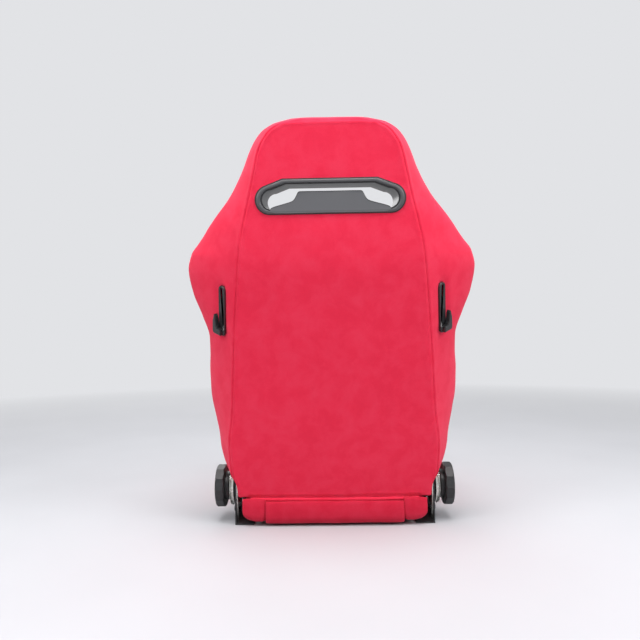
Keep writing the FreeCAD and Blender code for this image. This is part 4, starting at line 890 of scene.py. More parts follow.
@dataclass
class SlotOutline:
    """Outline of the through slot in the head, grown or not, in the plane of the rear panel there.

    Its ends are arcs, and straight lines run from them to the ends of its flat top.
    """

    half: float
    top: float
    bottom: float
    flat: float
    end_radius: float

    END_POINTS = 28

    def grown(self, by: float) -> "SlotOutline":
        """The outline grown by a distance."""
        return SlotOutline(self.half + by, self.top + by, self.bottom - by, self.flat, self.end_radius + by)

    def towards(self, other: "SlotOutline", share: float) -> "SlotOutline":
        """The outline at a share of the way to another one."""
        pairs = zip(astuple(self), astuple(other))
        return SlotOutline(*(a + (b - a) * share for a, b in pairs))

    def line(self) -> np.ndarray:
        """Draw the closed outline.

        Returns:
            Its corners as rows of x and z in millimetres, the first one repeated at the end.
        """
        end_x, end_z = self.half - self.end_radius, self.bottom + self.end_radius
        away_x, away_z = self.flat - end_x, self.top - end_z
        touch = math.atan2(away_z, away_x) - math.acos(self.end_radius / math.hypot(away_x, away_z))
        turns = np.linspace(touch, -math.pi / 2, self.END_POINTS)
        right = [
            (end_x + self.end_radius * math.cos(a), end_z + self.end_radius * math.sin(a)) for a in turns
        ]
        left = [(-x, z) for x, z in reversed(right)]
        points = [(-self.flat, self.top), (self.flat, self.top), *right, *left]
        return np.array(points + points[:1])

    def signed(self, places: np.ndarray) -> np.ndarray:
        """Distance to the outline, negative inside it.

        Args:
            places: Rows of x and z.

        Returns:
            One distance for each row.
        """
        line = self.line()
        distance = line_distance(places, line)
        inside = np.zeros(len(places), bool)
        x, z = places[:, 0], places[:, 1]
        for (x1, z1), (x2, z2) in zip(line, line[1:]):
            crossing = (z1 > z) != (z2 > z)
            inside ^= crossing & (x < (x2 - x1) * (z - z1) / (z2 - z1 + 1e-12) + x1)
        return np.where(inside, -distance, distance)

    def nearest(self, places: np.ndarray) -> np.ndarray:
        """Find the nearest point of the outline for each place.

        Args:
            places: Rows of x and z.

        Returns:
            One point for each row.
        """
        line = self.line()
        best, found = np.full(len(places), np.inf), places.copy()
        for a, b in zip(line, line[1:]):
            run = b - a
            t = np.clip(((places - a) @ run) / (run @ run), 0, 1)
            on = a + t[:, None] * run
            d = np.linalg.norm(places - on, axis=1)
            closer = d < best
            best[closer], found[closer] = d[closer], on[closer]
        return found


SLOT = SlotOutline(126.5, 22.5, -23.5, 82.0, 18.0)
BEZEL = SlotOutline(139.6, 32.5, -32.5, 88.0, 27.0)
SLOT_V = 623.5
SLOT_W = float(BACK.rear_plane(np.array([SLOT_V]))[0])
SLOT_TILT = math.radians(9.1)


def into_slot_frame(points: np.ndarray) -> np.ndarray:
    """Turn points of the backrest's frame into the slot's frame.

    Args:
        points: Rows of x, w and v.

    Returns:
        Rows of x, the way out of the rear panel, and the way up along it.
    """
    w, v = points[:, 1] - SLOT_W, points[:, 2] - SLOT_V
    sin, cos = math.sin(SLOT_TILT), math.cos(SLOT_TILT)
    return np.stack([points[:, 0], w * cos + v * sin, v * cos - w * sin], 1)


def out_of_slot_frame(points: np.ndarray) -> np.ndarray:
    """Turn points of the slot's frame back into the backrest's frame.

    Args:
        points: Rows of x, the way out of the rear panel, and the way up along it.

    Returns:
        Rows of x, w and v.
    """
    sin, cos = math.sin(SLOT_TILT), math.cos(SLOT_TILT)
    w = points[:, 1] * cos - points[:, 2] * sin + SLOT_W
    v = points[:, 1] * sin + points[:, 2] * cos + SLOT_V
    return np.stack([points[:, 0], w, v], 1)


def slot_ring(line: np.ndarray, depth: np.ndarray | float) -> np.ndarray:
    """Place a line of the slot's plane at a depth and give it in metres.

    Args:
        line: Rows of x and z.
        depth: Way out of the rear panel, one for all rows or one for each.

    Returns:
        One point for each row in the seat's frame.
    """
    points = np.stack([line[:, 0], np.broadcast_to(depth, len(line)), line[:, 1]], 1)
    return BACK.world(out_of_slot_frame(points))


def open_slot(points: np.ndarray, faces: Faces, hole: SlotOutline, seat: SlotOutline, depth: float,
              pull: float) -> Faces:
    """Open the head slot in a skin and lay the skin flat under the trim ring.

    Args:
        points: Points in the backrest's frame, moved in place.
        faces: The skin's faces.
        hole: Outline of the hole.
        seat: Outline inside which the skin is flat.
        depth: Depth of the flat in the slot's frame.
        pull: Width over which the skin comes down to the flat.

    Returns:
        The faces outside the hole.
    """
    skin_depth, far = 60, 1e3
    local = into_slot_frame(points)
    near = np.abs(local[:, 1] - depth) < skin_depth
    places = local[:, [0, 2]]
    signed, under = np.full(len(points), far), np.full(len(points), far)
    signed[near] = hole.signed(places[near])
    under[near] = seat.signed(places[near])
    local[:, 1] += (depth - local[:, 1]) * eased(np.clip(1 - under / pull, 0, 1))
    gone = [np.mean(signed[list(face)]) < 0 for face in faces]
    kept = [face for face, cut in zip(faces, gone) if not cut]
    used = {i for face in kept for i in face}
    touched = {i for face, cut in zip(faces, gone) if cut for i in face}
    rim = [i for i in sorted(touched & used) if near[i]]
    edge = hole.nearest(places[rim])
    local[rim] = np.stack([edge[:, 0], local[rim, 1], edge[:, 1]], 1)
    points[near] = out_of_slot_frame(local)[near]
    return kept


@dataclass(frozen=True)
class LeverPlace:
    """Flat on a side face where a release lever's escutcheon sits, in the backrest's frame."""

    x: float = 213.5
    w: float = 22.1
    v: float = 404.0
    turn: float = math.radians(46.5)
    tilt: float = math.radians(5.5)
    straight: float = 42.0
    skin_depth: float = 25.0

    def axes(self, side: Side) -> tuple[np.ndarray, np.ndarray, np.ndarray, np.ndarray]:
        """Give the flat's place and directions on one side.

        Args:
            side: The side of the seat.

        Returns:
            Its centre, and the directions out of it, across it and up along it.
        """
        sign = side.value
        out = np.array([sign * math.sin(self.turn), math.cos(self.turn), 0.0])
        level = np.array([sign * math.cos(self.turn), -math.sin(self.turn), 0.0])
        rise = np.array([0.0, 0.0, 1.0])
        across = level * math.cos(self.tilt) + rise * math.sin(self.tilt)
        up = rise * math.cos(self.tilt) - level * math.sin(self.tilt)
        return np.array([sign * self.x, self.w, self.v]), out, across, up

    def around(self, points: np.ndarray, side: Side) -> tuple[np.ndarray, np.ndarray]:
        """Measure points against the flat on one side.

        Args:
            points: Rows of x, w and v.
            side: The side of the seat.

        Returns:
            Each point's height over the flat, and its distance from the middle line of the slot there.
        """
        centre, out, across, up = self.axes(side)
        offset = points - centre
        past = np.maximum(np.abs(offset @ up) - self.straight, 0)
        return offset @ out, np.hypot(offset @ across, past)


LEVER = LeverPlace()


@dataclass
class RearCover:
    """One-piece rear cover of the backrest: rear panel, side faces and top, with its sewn lip.

    Seams gives the half width at the panel's seams for heights v. Front gives the half width and the depth of
    the side faces' front edges.
    """

    seams: Table = (
        (0, 204), (24, 206), (58, 216), (110, 217), (200, 206), (300, 198), (400, 189), (487, 180),
        (529, 175), (576, 165), (622, 153), (666, 143), (710, 132), (740, 113), (755, 88), (762, 52),
    )
    front: Table = (
        (0, 204, -15), (24, 206, -15), (58, 235, -15), (84, 244, -20), (120, 251, -44), (160, 259, -50),
        (205, 265, -52), (250, 264, -52), (295, 260, -50), (327, 259, -48), (375, 271, -48), (425, 287, -50),
        (470, 293, -52), (503, 284, -50), (528, 265, -46), (544, 253, -42), (560, 242, -38), (580, 227, -36),
        (620, 195.5, -38), (666, 170, -40), (710, 151, -42), (738, 132, -42), (754, 107, -38), (762, 74, -36),
    )
    crown: float = 4.0
    crown_least: float = 0.8
    crown_v: float = 560.0
    crown_fade: float = 0.06
    corner_reach: int = 4
    corner_passes: int = 5
    top_round: float = 9.0
    top_drop: float = 0.8
    cap_lift: float = 1.8
    skin: float = 2.4
    recliner_radius: float = 45.0
    recliner_x: float = 190.0
    side_swell: float = 0.05
    swell_place: float = 0.7
    face_points: int = 46
    panel_points: int = 52
    slot_gap: float = 2.5
    ring_depth: float = 1.1
    ring_pull: float = 5.0
    lever_depth: float = 1.2
    lever_flat: float = 11.0
    lever_pull: float = 16.0
    lever_hole: float = 7.0
    foot_seam_v: float = 3.0
    top_seam: float = 88.0
    seam: Seam = Seam(depth=2.3, width=1.9, pucker=0.5, reach=12, gather=11)
    neck_seam: Seam = Seam(depth=1.9, width=2.0, pucker=0.5, reach=10, gather=9)
    ease: Ease = Ease(0.8, 0.085, 0.22, 0.022)
    lip_ease: Ease = Ease(0.35, 0.03, 0.15, 0.01)
    neck: Table = ((203, -22, 600), (193, -6, 588), (180, 15, 571), (170.5, 33, 552), (172, 36, 530))
    lip_half: float = 180.0
    lip_w: float = 49.2
    lip_v: float = -4.9
    lip_thick: float = 3.4
    lip_tall: float = 4.5
    lip_round: float = 5.0

    def section(self, v: float) -> np.ndarray:
        """Draw the cover's section at a height.

        Args:
            v: The height.

        Returns:
            Rows of x, w and v from the left front edge round the rear to the right one.
        """
        place = np.array([v])
        seam = float(table_at(self.seams, place)[0, 0])
        side, front = table_at(self.front, place)[0]
        rear = float(BACK.rear_plane(place)[0])
        rounding = (v - (self.seams[-1][0] - self.top_round)) / self.top_round
        if rounding > 0:
            rear -= self.top_round * self.top_drop * (1 - math.sqrt(max(0.0, 1 - min(1.0, rounding) ** 2)))
        crown = self.crown
        if v >= self.crown_v:
            crown = max(self.crown_least, self.crown - (v - self.crown_v) * self.crown_fade)
        outer, inner = np.array([side, front]), np.array([seam, rear])
        chord = inner - outer
        length = np.linalg.norm(chord)
        bulge = np.array([-chord[1], chord[0]]) / length
        bulge = -bulge if bulge[0] < 0 else bulge
        shares = spaced((0, 0.05), (0.8, 0.028), (1, 1))
        swell = np.sin(np.pi * shares**self.swell_place) * self.side_swell * length
        face = outer + shares[:, None] * chord + swell[:, None] * bulge
        x = seam - spaced((0, 1.6), (10, 2.2), (30, 4.0), (seam, 1))
        panel = np.stack([x, rear + crown * (1 - (x / seam) ** 2)], 1)
        soft = np.concatenate([face[:-1], panel])
        corner = len(face) - 1
        low, high = corner - self.corner_reach, corner + self.corner_reach
        for _ in range(self.corner_passes):
            beside = soft[low - 1 : high - 1] + soft[low + 1 : high + 1]
            soft[low:high] = 0.5 * soft[low:high] + 0.25 * beside
        half = np.stack([soft[:, 0], soft[:, 1], np.full(len(soft), v)], 1)
        other = half[:-1][::-1] * np.array([-1, 1, 1])
        return np.concatenate([half, other])

    def build(self, wardrobe: "Wardrobe") -> list[bpy.types.Object]:
        """Make the cover and its lip and dress them.

        Args:
            wardrobe: The finishes.

        Returns:
            The cover and the lip.
        """
        heights = spaced((0, 2.5), (20, 5.0), (470, 2.6), (620, 3.4), (740, 1.8), (762, 1))
        seams = table_at(self.seams, heights)[:, 0]
        rows = [self.even(self.section(v), seam) for v, seam in zip(heights, seams)]
        front = self.front[-1][2]
        for t in spaced((0.12, 0.12), (1.0, 1)):
            cap = rows[len(heights) - 1].copy()
            cap[:, 1] += (front - cap[:, 1]) * t
            fade = np.clip(1 - (cap[:, 0] / self.front[-1][1]) ** 4, 0, 1)
            cap[:, 2] += self.cap_lift * math.sin(math.pi * min(1.0, t * 1.1)) * fade
            rows.append(cap)
        grid = np.array(rows)
        points = grid.reshape(-1, 3)
        faces = grid_faces(len(rows), grid.shape[1], False, False)
        hole, seat = SLOT.grown(self.slot_gap), BEZEL.grown(-1)
        faces = open_slot(points, faces, hole, seat, self.ring_depth, self.ring_pull)
        faces = self.cut_recliner(points, faces)
        for side in Side:
            self.seat_lever(points, side)
            faces = self.cut_lever(points, faces, side)
        cover = new_object("backrest_cover_suede", BACK.world(points), faces)
        self.sew(cover)
        self.ease.apply(cover, 3.0, self.clear_of_trim)
        modify(cover, "SOLIDIFY", thickness=self.skin * MM, offset=-1.0)
        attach(cover, Body.BACKREST.value)
        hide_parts("backrest_rear_cover")
        wardrobe.dress(cover, "suede")
        lip = self.lip(wardrobe)
        return [cover, lip]

    def even(self, section: np.ndarray, seam: float) -> np.ndarray:
        """Give a section the number of points that all of them have, its seams at the same ones.

        Args:
            section: The section's points.
            seam: Half width at the panel's seams.

        Returns:
            The new points, closer together at the seams.
        """
        half = (len(section) + 1) // 2
        one = section[:half]
        face = int(np.argmin(np.abs(one[:, 0] - seam) + np.abs(one[:, 1] - one[:, 1].max()) * 0.2))
        made = []
        for run, share in (
            (one[: face + 1], 1 - (1 - np.linspace(0, 1, self.face_points)) ** 1.25),
            (one[face:], np.linspace(0, 1, self.panel_points) ** 1.35),
        ):
            steps = np.linalg.norm(np.diff(run, axis=0), axis=1)
            along = np.concatenate([[0], np.cumsum(steps)])
            made.append(np.stack([np.interp(share * along[-1], along, run[:, k]) for k in range(3)], 1))
        half_row = np.concatenate([made[0][:-1], made[1]])
        return np.concatenate([half_row, half_row[:-1][::-1] * np.array([-1, 1, 1])])

    def cut_recliner(self, points: np.ndarray, faces: Faces) -> Faces:
        """Cut the lower corners free of the recliners.

        Args:
            points: Points of the cover, moved in place.
            faces: Its faces.

        Returns:
            The faces that are left.
        """
        radius = np.hypot(points[:, 1], points[:, 2])
        inside = (np.abs(points[:, 0]) > self.recliner_x) & (radius < self.recliner_radius)
        kept = [f for f in faces if not inside[list(f)].all()]
        for face in kept:
            for i in face:
                if inside[i]:
                    points[i, 1:] *= self.recliner_radius / radius[i]
                    inside[i] = False
        return kept

    def flank(self, v: float, w: np.ndarray) -> np.ndarray:
        """Measure the cover's half width at its side face.

        Args:
            v: The height.
            w: Depths to measure at.

        Returns:
            One half width for each depth.
        """
        section = self.section(v)
        half = section[: len(section) // 2]
        return np.interp(w, half[:, 1], half[:, 0])

    def seat_lever(self, points: np.ndarray, side: Side) -> None:
        """Lay the side face flat where a lever's escutcheon sits on it.

        Args:
            points: Points of the cover, moved in place.
            side: The lever's side.
        """
        deep, away = LEVER.around(points, side)
        share = eased(np.clip(1 - (away - self.lever_flat) / self.lever_pull, 0, 1))
        share = np.where(np.abs(deep) < LEVER.skin_depth, share, 0)
        points += ((self.lever_depth - deep) * share)[:, None] * LEVER.axes(side)[1]

    def cut_lever(self, points: np.ndarray, faces: Faces, side: Side) -> Faces:
        """Open the side face under a lever's escutcheon.

        Args:
            points: Points of the cover.
            faces: Its faces.
            side: The lever's side.

        Returns:
            The faces that are left.
        """
        deep, away = LEVER.around(points, side)
        inside = (away < self.lever_hole) & (np.abs(deep) < LEVER.skin_depth)
        return [f for f in faces if not inside[list(f)].any()]

    def seam_lines(self) -> list[np.ndarray]:
        """Draw the two long panel seams, the top seam and the seam over the lip.

        Returns:
            Their lines in metres.
        """
        heights = spaced((2, 8), (754, 1))
        seams = table_at(self.seams, heights)[:, 0]
        lines = []
        for side in Side:
            rear = BACK.rear_plane(heights)
            line = np.stack([side.value * (seams - 1.2), rear - 0.6, heights], 1)
            lines.append(BACK.world(line))
        x = np.linspace(-self.top_seam, self.top_seam, 30)
        top = np.stack([x, np.full_like(x, 6.5), 757.5 - 2.5 * (x / self.top_seam) ** 4], 1)
        lines.append(BACK.world(top))
        x = np.linspace(-self.lip_half, self.lip_half, 24)
        crown = self.crown * (1 - (x / self.seams[0][1]) ** 2)
        lines.append(BACK.world(np.stack([x, BACK.rear + crown, np.full_like(x, self.foot_seam_v)], 1)))
        return lines

    def neck_lines(self) -> list[np.ndarray]:
        """Draw the seams that cross the side faces at the neck.

        Returns:
            Their lines in metres.
        """
        line = np.array(self.neck, float)
        return [BACK.world(line * np.array([side.value, 1, 1])) for side in Side]

    def sew(self, cover: bpy.types.Object) -> None:
        """Press the cover's seams."""
        self.seam.press(cover, self.seam_lines(), 2.0)
        self.neck_seam.press(cover, self.neck_lines(), 4.0)

    @staticmethod
    def clear_of_trim(points: np.ndarray) -> np.ndarray:
        """Give the share of the slow swells, none under the trim ring and the escutcheons.

        Args:
            points: Points in metres.

        Returns:
            One share for each point.
        """
        sin, cos = math.sin(BACK.lean), math.cos(BACK.lean)
        y, z = points[:, 1] / MM - BACK.pivot_y, points[:, 2] / MM - BACK.pivot_z
        local = np.stack([points[:, 0] / MM, y * cos - z * sin, y * sin + z * cos], 1)
        slot = into_slot_frame(local)
        share = np.clip((BEZEL.signed(slot[:, [0, 2]]) - 1) / 10, 0, 1)
        for side in Side:
            _, away = LEVER.around(local, side)
            share = share * np.clip((away - 12) / 8, 0, 1)
        return share

    def lip(self, wardrobe: "Wardrobe") -> bpy.types.Object:
        """Make the thin sewn lip along the cover's foot.

        Args:
            wardrobe: The finishes.

        Returns:
            The lip.
        """
        turns = np.linspace(0, 2 * math.pi, 14, endpoint=False)
        half, tip = self.lip_half, self.lip_half - 6
        rows = []
        for x in spaced((-half, 1.2), (-tip, 5.0), (tip, 1.2), (half, 1)):
            end = min(1.0, (half - abs(x)) / self.lip_round)
            full = math.sqrt(max(0.02, 1 - (1 - end) ** 2))
            v = self.lip_v + 0.25 * math.sin(x / 11.0)
            w = self.lip_w + 3.1 * (1 - (x / 216) ** 2)
            ring = [np.full_like(turns, x), w + self.lip_thick * full * np.cos(turns),
                    v + self.lip_tall * full * np.sin(turns)]
            rows.append(BACK.world(np.stack(ring, 1)))
        piece = ring_rows("backrest_foot_lip", rows)
        self.lip_ease.apply(piece, 5.0)
        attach(piece, Body.BACKREST.value)
        wardrobe.dress(piece, "suede")
        return piece


def end_ease(place: float, low: float, high: float, reach: float) -> float:
    """Give a share from 1 at a piece's ends to 0 a reach inside them.

    Args:
        place: Place along the piece.
        low: Its lower end.
        high: Its upper end.
        reach: Length over which the share falls.

    Returns:
        The share.
    """
    t = min(place - low, high - place) / reach
    return max(0.0, 1 - t) ** 2 if t < 1 else 0.0


@dataclass(frozen=True)
class Channels:
    """Crowned pillows between channels sewn across an insert."""

    low: float
    high: float
    count: int
    half: float
    crown: float
    sink: float = 6.5
    roll: float = 5.0
    gap: float = 0.4
    under_points: int = 14
    swell: Ease = Ease(1.3, 0.07, 0.3, 0.02)
    stitching: Seam = Seam(depth=1.5, width=2.4, pucker=1.1, reach=11, gather=9)

    def seams(self) -> np.ndarray:
        """Places of the sewn channels."""
        return np.linspace(self.low, self.high, self.count + 2)[1:-1]

    def places(self) -> np.ndarray:
        """Space the rows along the insert, closer together at the channels.

        Returns:
            Their places.
        """
        stops: list[tuple[float, float]] = [(self.low, 1.6), (self.low + 8, 4.0)]
        for seam in self.seams():
            stops += [(seam - 10, 1.8), (seam + 10, 4.0)]
        stops += [(self.high - 8, 1.6), (self.high, 1)]
        return spaced(*stops)

    def depth(self, places: np.ndarray) -> np.ndarray:
        """Measure how far the surface lies below its pillows.

        Args:
            places: Places along the insert.

        Returns:
            One depth for each place.
        """
        step = (self.high - self.low) / (self.count + 1)
        share = np.clip((places - self.low) / step, 0, self.count + 1)
        across = np.abs(2 * (share - np.floor(share)) - 1)
        across[share >= self.count + 1] = 1
        return self.sink * (0.75 * across**7 + 0.25 * across**2.2)

    def row(self, deep: float) -> tuple[np.ndarray, np.ndarray, np.ndarray, np.ndarray]:
        """Draw a row across the insert.

        Args:
            deep: How far the row lies below its pillows.

        Returns:
            Across it the places, the heights over its edge and how far it is sunk, and the places under it.
        """
        x = spaced((-1, 0.012), (-0.88, 0.035), (0.88, 0.012), (1, 1))
        half = self.half - 1.2 * (deep / self.sink) - self.gap
        rise = self.crown * (1 - x**2) + self.roll * (1 - np.abs(x) ** 9) - self.roll
        sunk = deep * (1 - np.abs(x) ** 12 * 0.4)
        return x * half, rise, sunk, np.linspace(half, -half, self.under_points)

    def stuff(self, piece: bpy.types.Object, lines: list[np.ndarray], seed: float, seam_seed: float) -> None:
        """Swell the insert's pillows and press its channels.

        Args:
            piece: The insert.
            lines: Lines of its channels in metres.
            seed: Shift of the swells' noise.
            seam_seed: Shift of the puckers' noise.
        """
        self.swell.apply(piece, seed)
        self.stitching.press(piece, lines, seam_seed)


@dataclass
class BackrestPads:
    """Front of the backrest: channelled insert, two pairs of bolsters and the head pad."""

    insert_half: float = 148.0
    insert_front: Table = ((72, -34), (120, -40), (210, -49), (320, -46), (430, -42), (545, -50))
    channels: Channels = Channels(72, 545, 5, 148.0, 9.0)
    lumbar: Table = (
        (84, -60, 0.58), (120, -76, 0.6), (160, -95, 0.62), (205, -117, 0.64), (250, -118, 0.64),
        (295, -98, 0.6), (327, -80, 0.56),
    )
    shoulder: Table = (
        (330, -80, 0.56), (375, -94, 0.6), (425, -112, 0.66), (470, -119, 0.68), (503, -110, 0.66),
        (528, -92, 0.6), (544, -74, 0.55),
    )
    head: Table = (
        (547, 252, -64), (580, 226, -68), (620, 195, -74), (666, 170, -80), (710, 150, -84), (738, 131, -80),
        (754, 103, -70), (761, 62, -60),
    )
    lumbar_soft: float = 16.0
    shoulder_soft: float = 12.0
    fill: float = 0.85
    cover: RearCover = field(default_factory=RearCover)
    skin_gap: float = 3.2
    slot_gap: float = 2.6
    slot_reach: tuple[float, float] = (-150.0, 10.0)
    top_middle: float = -50.0
    bolster_ease: Ease = Ease(1.6, 0.06, 0.35, 0.018)
    head_ease: Ease = Ease(1.1, 0.08, 0.28, 0.02)

    def build(self, wardrobe: Wardrobe) -> list[bpy.types.Object]:
        """Make the pads and dress them.

        Args:
            wardrobe: The finishes.

        Returns:
            The pads.
        """
        pieces = [self.insert()]
        for side in Side:
            pieces.append(self.bolster(f"lumbar_bolster_{side.word}", side, self.lumbar, self.lumbar_soft))
            pieces.append(
                self.bolster(f"shoulder_bolster_{side.word}", side, self.shoulder, self.shoulder_soft)
            )
        pieces.append(self.head_pad())
        for piece in pieces:
            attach(piece, Body.BACKREST.value)
            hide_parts(piece.name.removesuffix("_suede"))
            wardrobe.dress(piece, "suede")
        return pieces

    def front_edge(self, v: np.ndarray) -> np.ndarray:
        """Depth of the insert's front edge at heights v."""
        return table_at(self.insert_front, v)[:, 0]

    def insert(self) -> bpy.types.Object:
        """Make the insert of the backrest.

        Returns:
            The piece.
        """
        channels = self.channels
        heights = channels.places()
        rows = []
        for v, edge, deep in zip(heights, self.front_edge(heights), channels.depth(heights)):
            back = float(BACK.split_plane(np.array([v]))[0])
            x, rise, sunk, under = channels.row(deep)
            ring = np.stack([x, edge - rise + sunk, np.full_like(x, v)], 1)
            rear = np.stack([under, np.full_like(under, back), np.full_like(under, v)], 1)
            rows.append(BACK.world(np.concatenate([ring, rear])))
        piece = ring_rows("backrest_insert_suede", rows)
        lines = []
        across = np.linspace(-0.99, 0.99, 16)
        for v in channels.seams():
            edge = float(self.front_edge(np.array([v]))[0])
            front = edge - channels.crown * (1 - across**2) + channels.sink
            lines.append(BACK.world(np.stack([across * channels.half, front, np.full(16, v)], 1)))
        channels.stuff(piece, lines, 11.0, 6.0)
        return piece

    def bolster(self, name: str, side: Side, table: Table, soft: float) -> bpy.types.Object:
        """Make a bolster, rolled over its peak from the insert to the side seam.

        Args:
            name: Name of the node that it stands for.
            side: The side of the seat.
            table: Rows of a height, the depth of the peak and the peak's share of the way out.
            soft: Length over which its ends draw in.

        Returns:
            The piece.
        """
        low, high = table[0][0], table[-1][0]
        heights = spaced((low, 1.5), (low + soft, 5.0), (high - soft, 1.5), (high, 1))
        rows = []
        for v, (front, share) in zip(heights, table_at(table, heights)):
            inner = self.insert_half + self.channels.gap
            back = float(BACK.split_plane(np.array([v]))[0])
            inner_w = float(self.front_edge(np.array([v]))[0]) + 2
            outer, hem = table_at(self.cover.front, np.array([v]))[0] - np.array([0.5, 0])
            peak_x = inner + (outer - inner) * share
            middle = (hem + back) / 2
            seam_x, mid_x, base_x = self.cover.flank(v, np.array([hem, middle, back])) - self.skin_gap
            corners = np.array([
                (inner, back), (inner, inner_w), (inner + 7, inner_w - 9),
                (inner * 0.52 + peak_x * 0.48, front * 0.86 + inner_w * 0.14 - 1), (peak_x, front),
                (peak_x * 0.42 + outer * 0.58, front * 0.74 - 0.26 * 46 - 2), (outer - 1.5, hem - 12),
                (seam_x, hem - 0.5), (mid_x, middle), (base_x, back),
            ])
            loop = spline_loop(corners, (0, 1, 7, 9), 7)
            ease = end_ease(v, low, high, soft)
            core = np.array([(inner + base_x) / 2, back])
            shrunk = core + (loop - core) * np.array([1 - ease * 0.05, 1 - ease * 0.13])
            shrunk[:, 0] = np.maximum(shrunk[:, 0], inner)
            ring = [shrunk[:, 0] * side.value, shrunk[:, 1], np.full(len(loop), v)]
            rows.append(BACK.world(np.stack(ring, 1)))
        piece = ring_rows(name + "_suede", rows)
        self.bolster_ease.apply(piece, 20.0 + low * 0.01 + side.value)
        return piece

    def head_pad(self) -> bpy.types.Object:
        """Make the head pad with the slot through it.

        Returns:
            The piece.
        """
        low, high = self.head[0][0], self.head[-1][0]
        heights = spaced((low, 1.6), (low + 12, 3.6), (high - 24, 1.8), (high, 1))
        rows = []
        for v, (half, front) in zip(heights, table_at(self.head, heights)):
            back = float(BACK.split_plane(np.array([v]))[0])
            corner = min(26.0, half * 0.2)
            hem = min(float(table_at(self.cover.front, np.array([v]))[0, 1]), back - 1.0)
            base_x, hem_x = self.cover.flank(v, np.array([back, hem])) - self.skin_gap
            right = [(base_x, back), (hem_x, hem), (half, min(hem, back - 22) - 3),
                     (half - corner * 0.38, (front + back - 22) / 2 - 6), (half - corner * 1.25, front - 0.5)]
            left = [(-x, w) for x, w in reversed(right)]
            face = [(half * 0.4, front - 5.5), (0, front - 7), (-half * 0.4, front - 5.5)]
            corners = np.array([*right, *face, *left])
            loop = spline_loop(corners, (0, len(corners) - 1), 9)
            ease = end_ease(v, low, high + 40, 12)
            core = np.array([0.0, back])
            shrunk = core + (loop - core) * np.array([1 - ease * 0.03, 1 - ease * 0.13])
            rows.append(np.stack([shrunk[:, 0], shrunk[:, 1], np.full(len(loop), v)], 1))
        top = rows[-1]
        middle = np.array([0.0, self.top_middle, high])
        for share, lift in ((0.08, 0.4), (0.2, 0.8), (0.45, 1.1), (0.75, 1.3)):
            cap = top + (middle - top) * share
            cap[:, 2] = high + lift
            rows.append(cap)
        grid = np.array(rows)
        points = grid.reshape(-1, 3)
        self.flatten_under_ring(points)
        piece = ring_rows("head_pad_suede", BACK.world(grid))
        modify(piece, "SUBSURF", levels=1)
        self.head_ease.apply(piece, 31.0, RearCover.clear_of_trim)
        self.cut_slot(piece)
        return piece

    @staticmethod
    def flatten_under_ring(points: np.ndarray) -> None:
        """Lay the pad's front flat where the front trim ring sits on it.

        Args:
            points: Points in the backrest's frame, moved in place.
        """
        depth, pull, front = -106.0, 14.0, -78.0
        local = into_slot_frame(points)
        outside = BEZEL.grown(0.5).signed(local[:, [0, 2]])
        share = np.where(local[:, 1] < front, eased(np.clip(1 - outside / pull, 0, 1)), 0)
        local[:, 1] += (depth - local[:, 1]) * share
        points[:] = out_of_slot_frame(local)

    def cut_slot(self, piece: bpy.types.Object) -> None:
        """Cut the slot's hole through the pad.

        Args:
            piece: The pad.
        """
        line = SLOT.grown(self.slot_gap).line()[:-1]
        cutter = ring_rows("slot_cutter", [slot_ring(line, depth) for depth in self.slot_reach])
        modify(piece, "BOOLEAN", object=cutter, operation="DIFFERENCE", solver="EXACT")
        bpy.data.objects.remove(cutter)


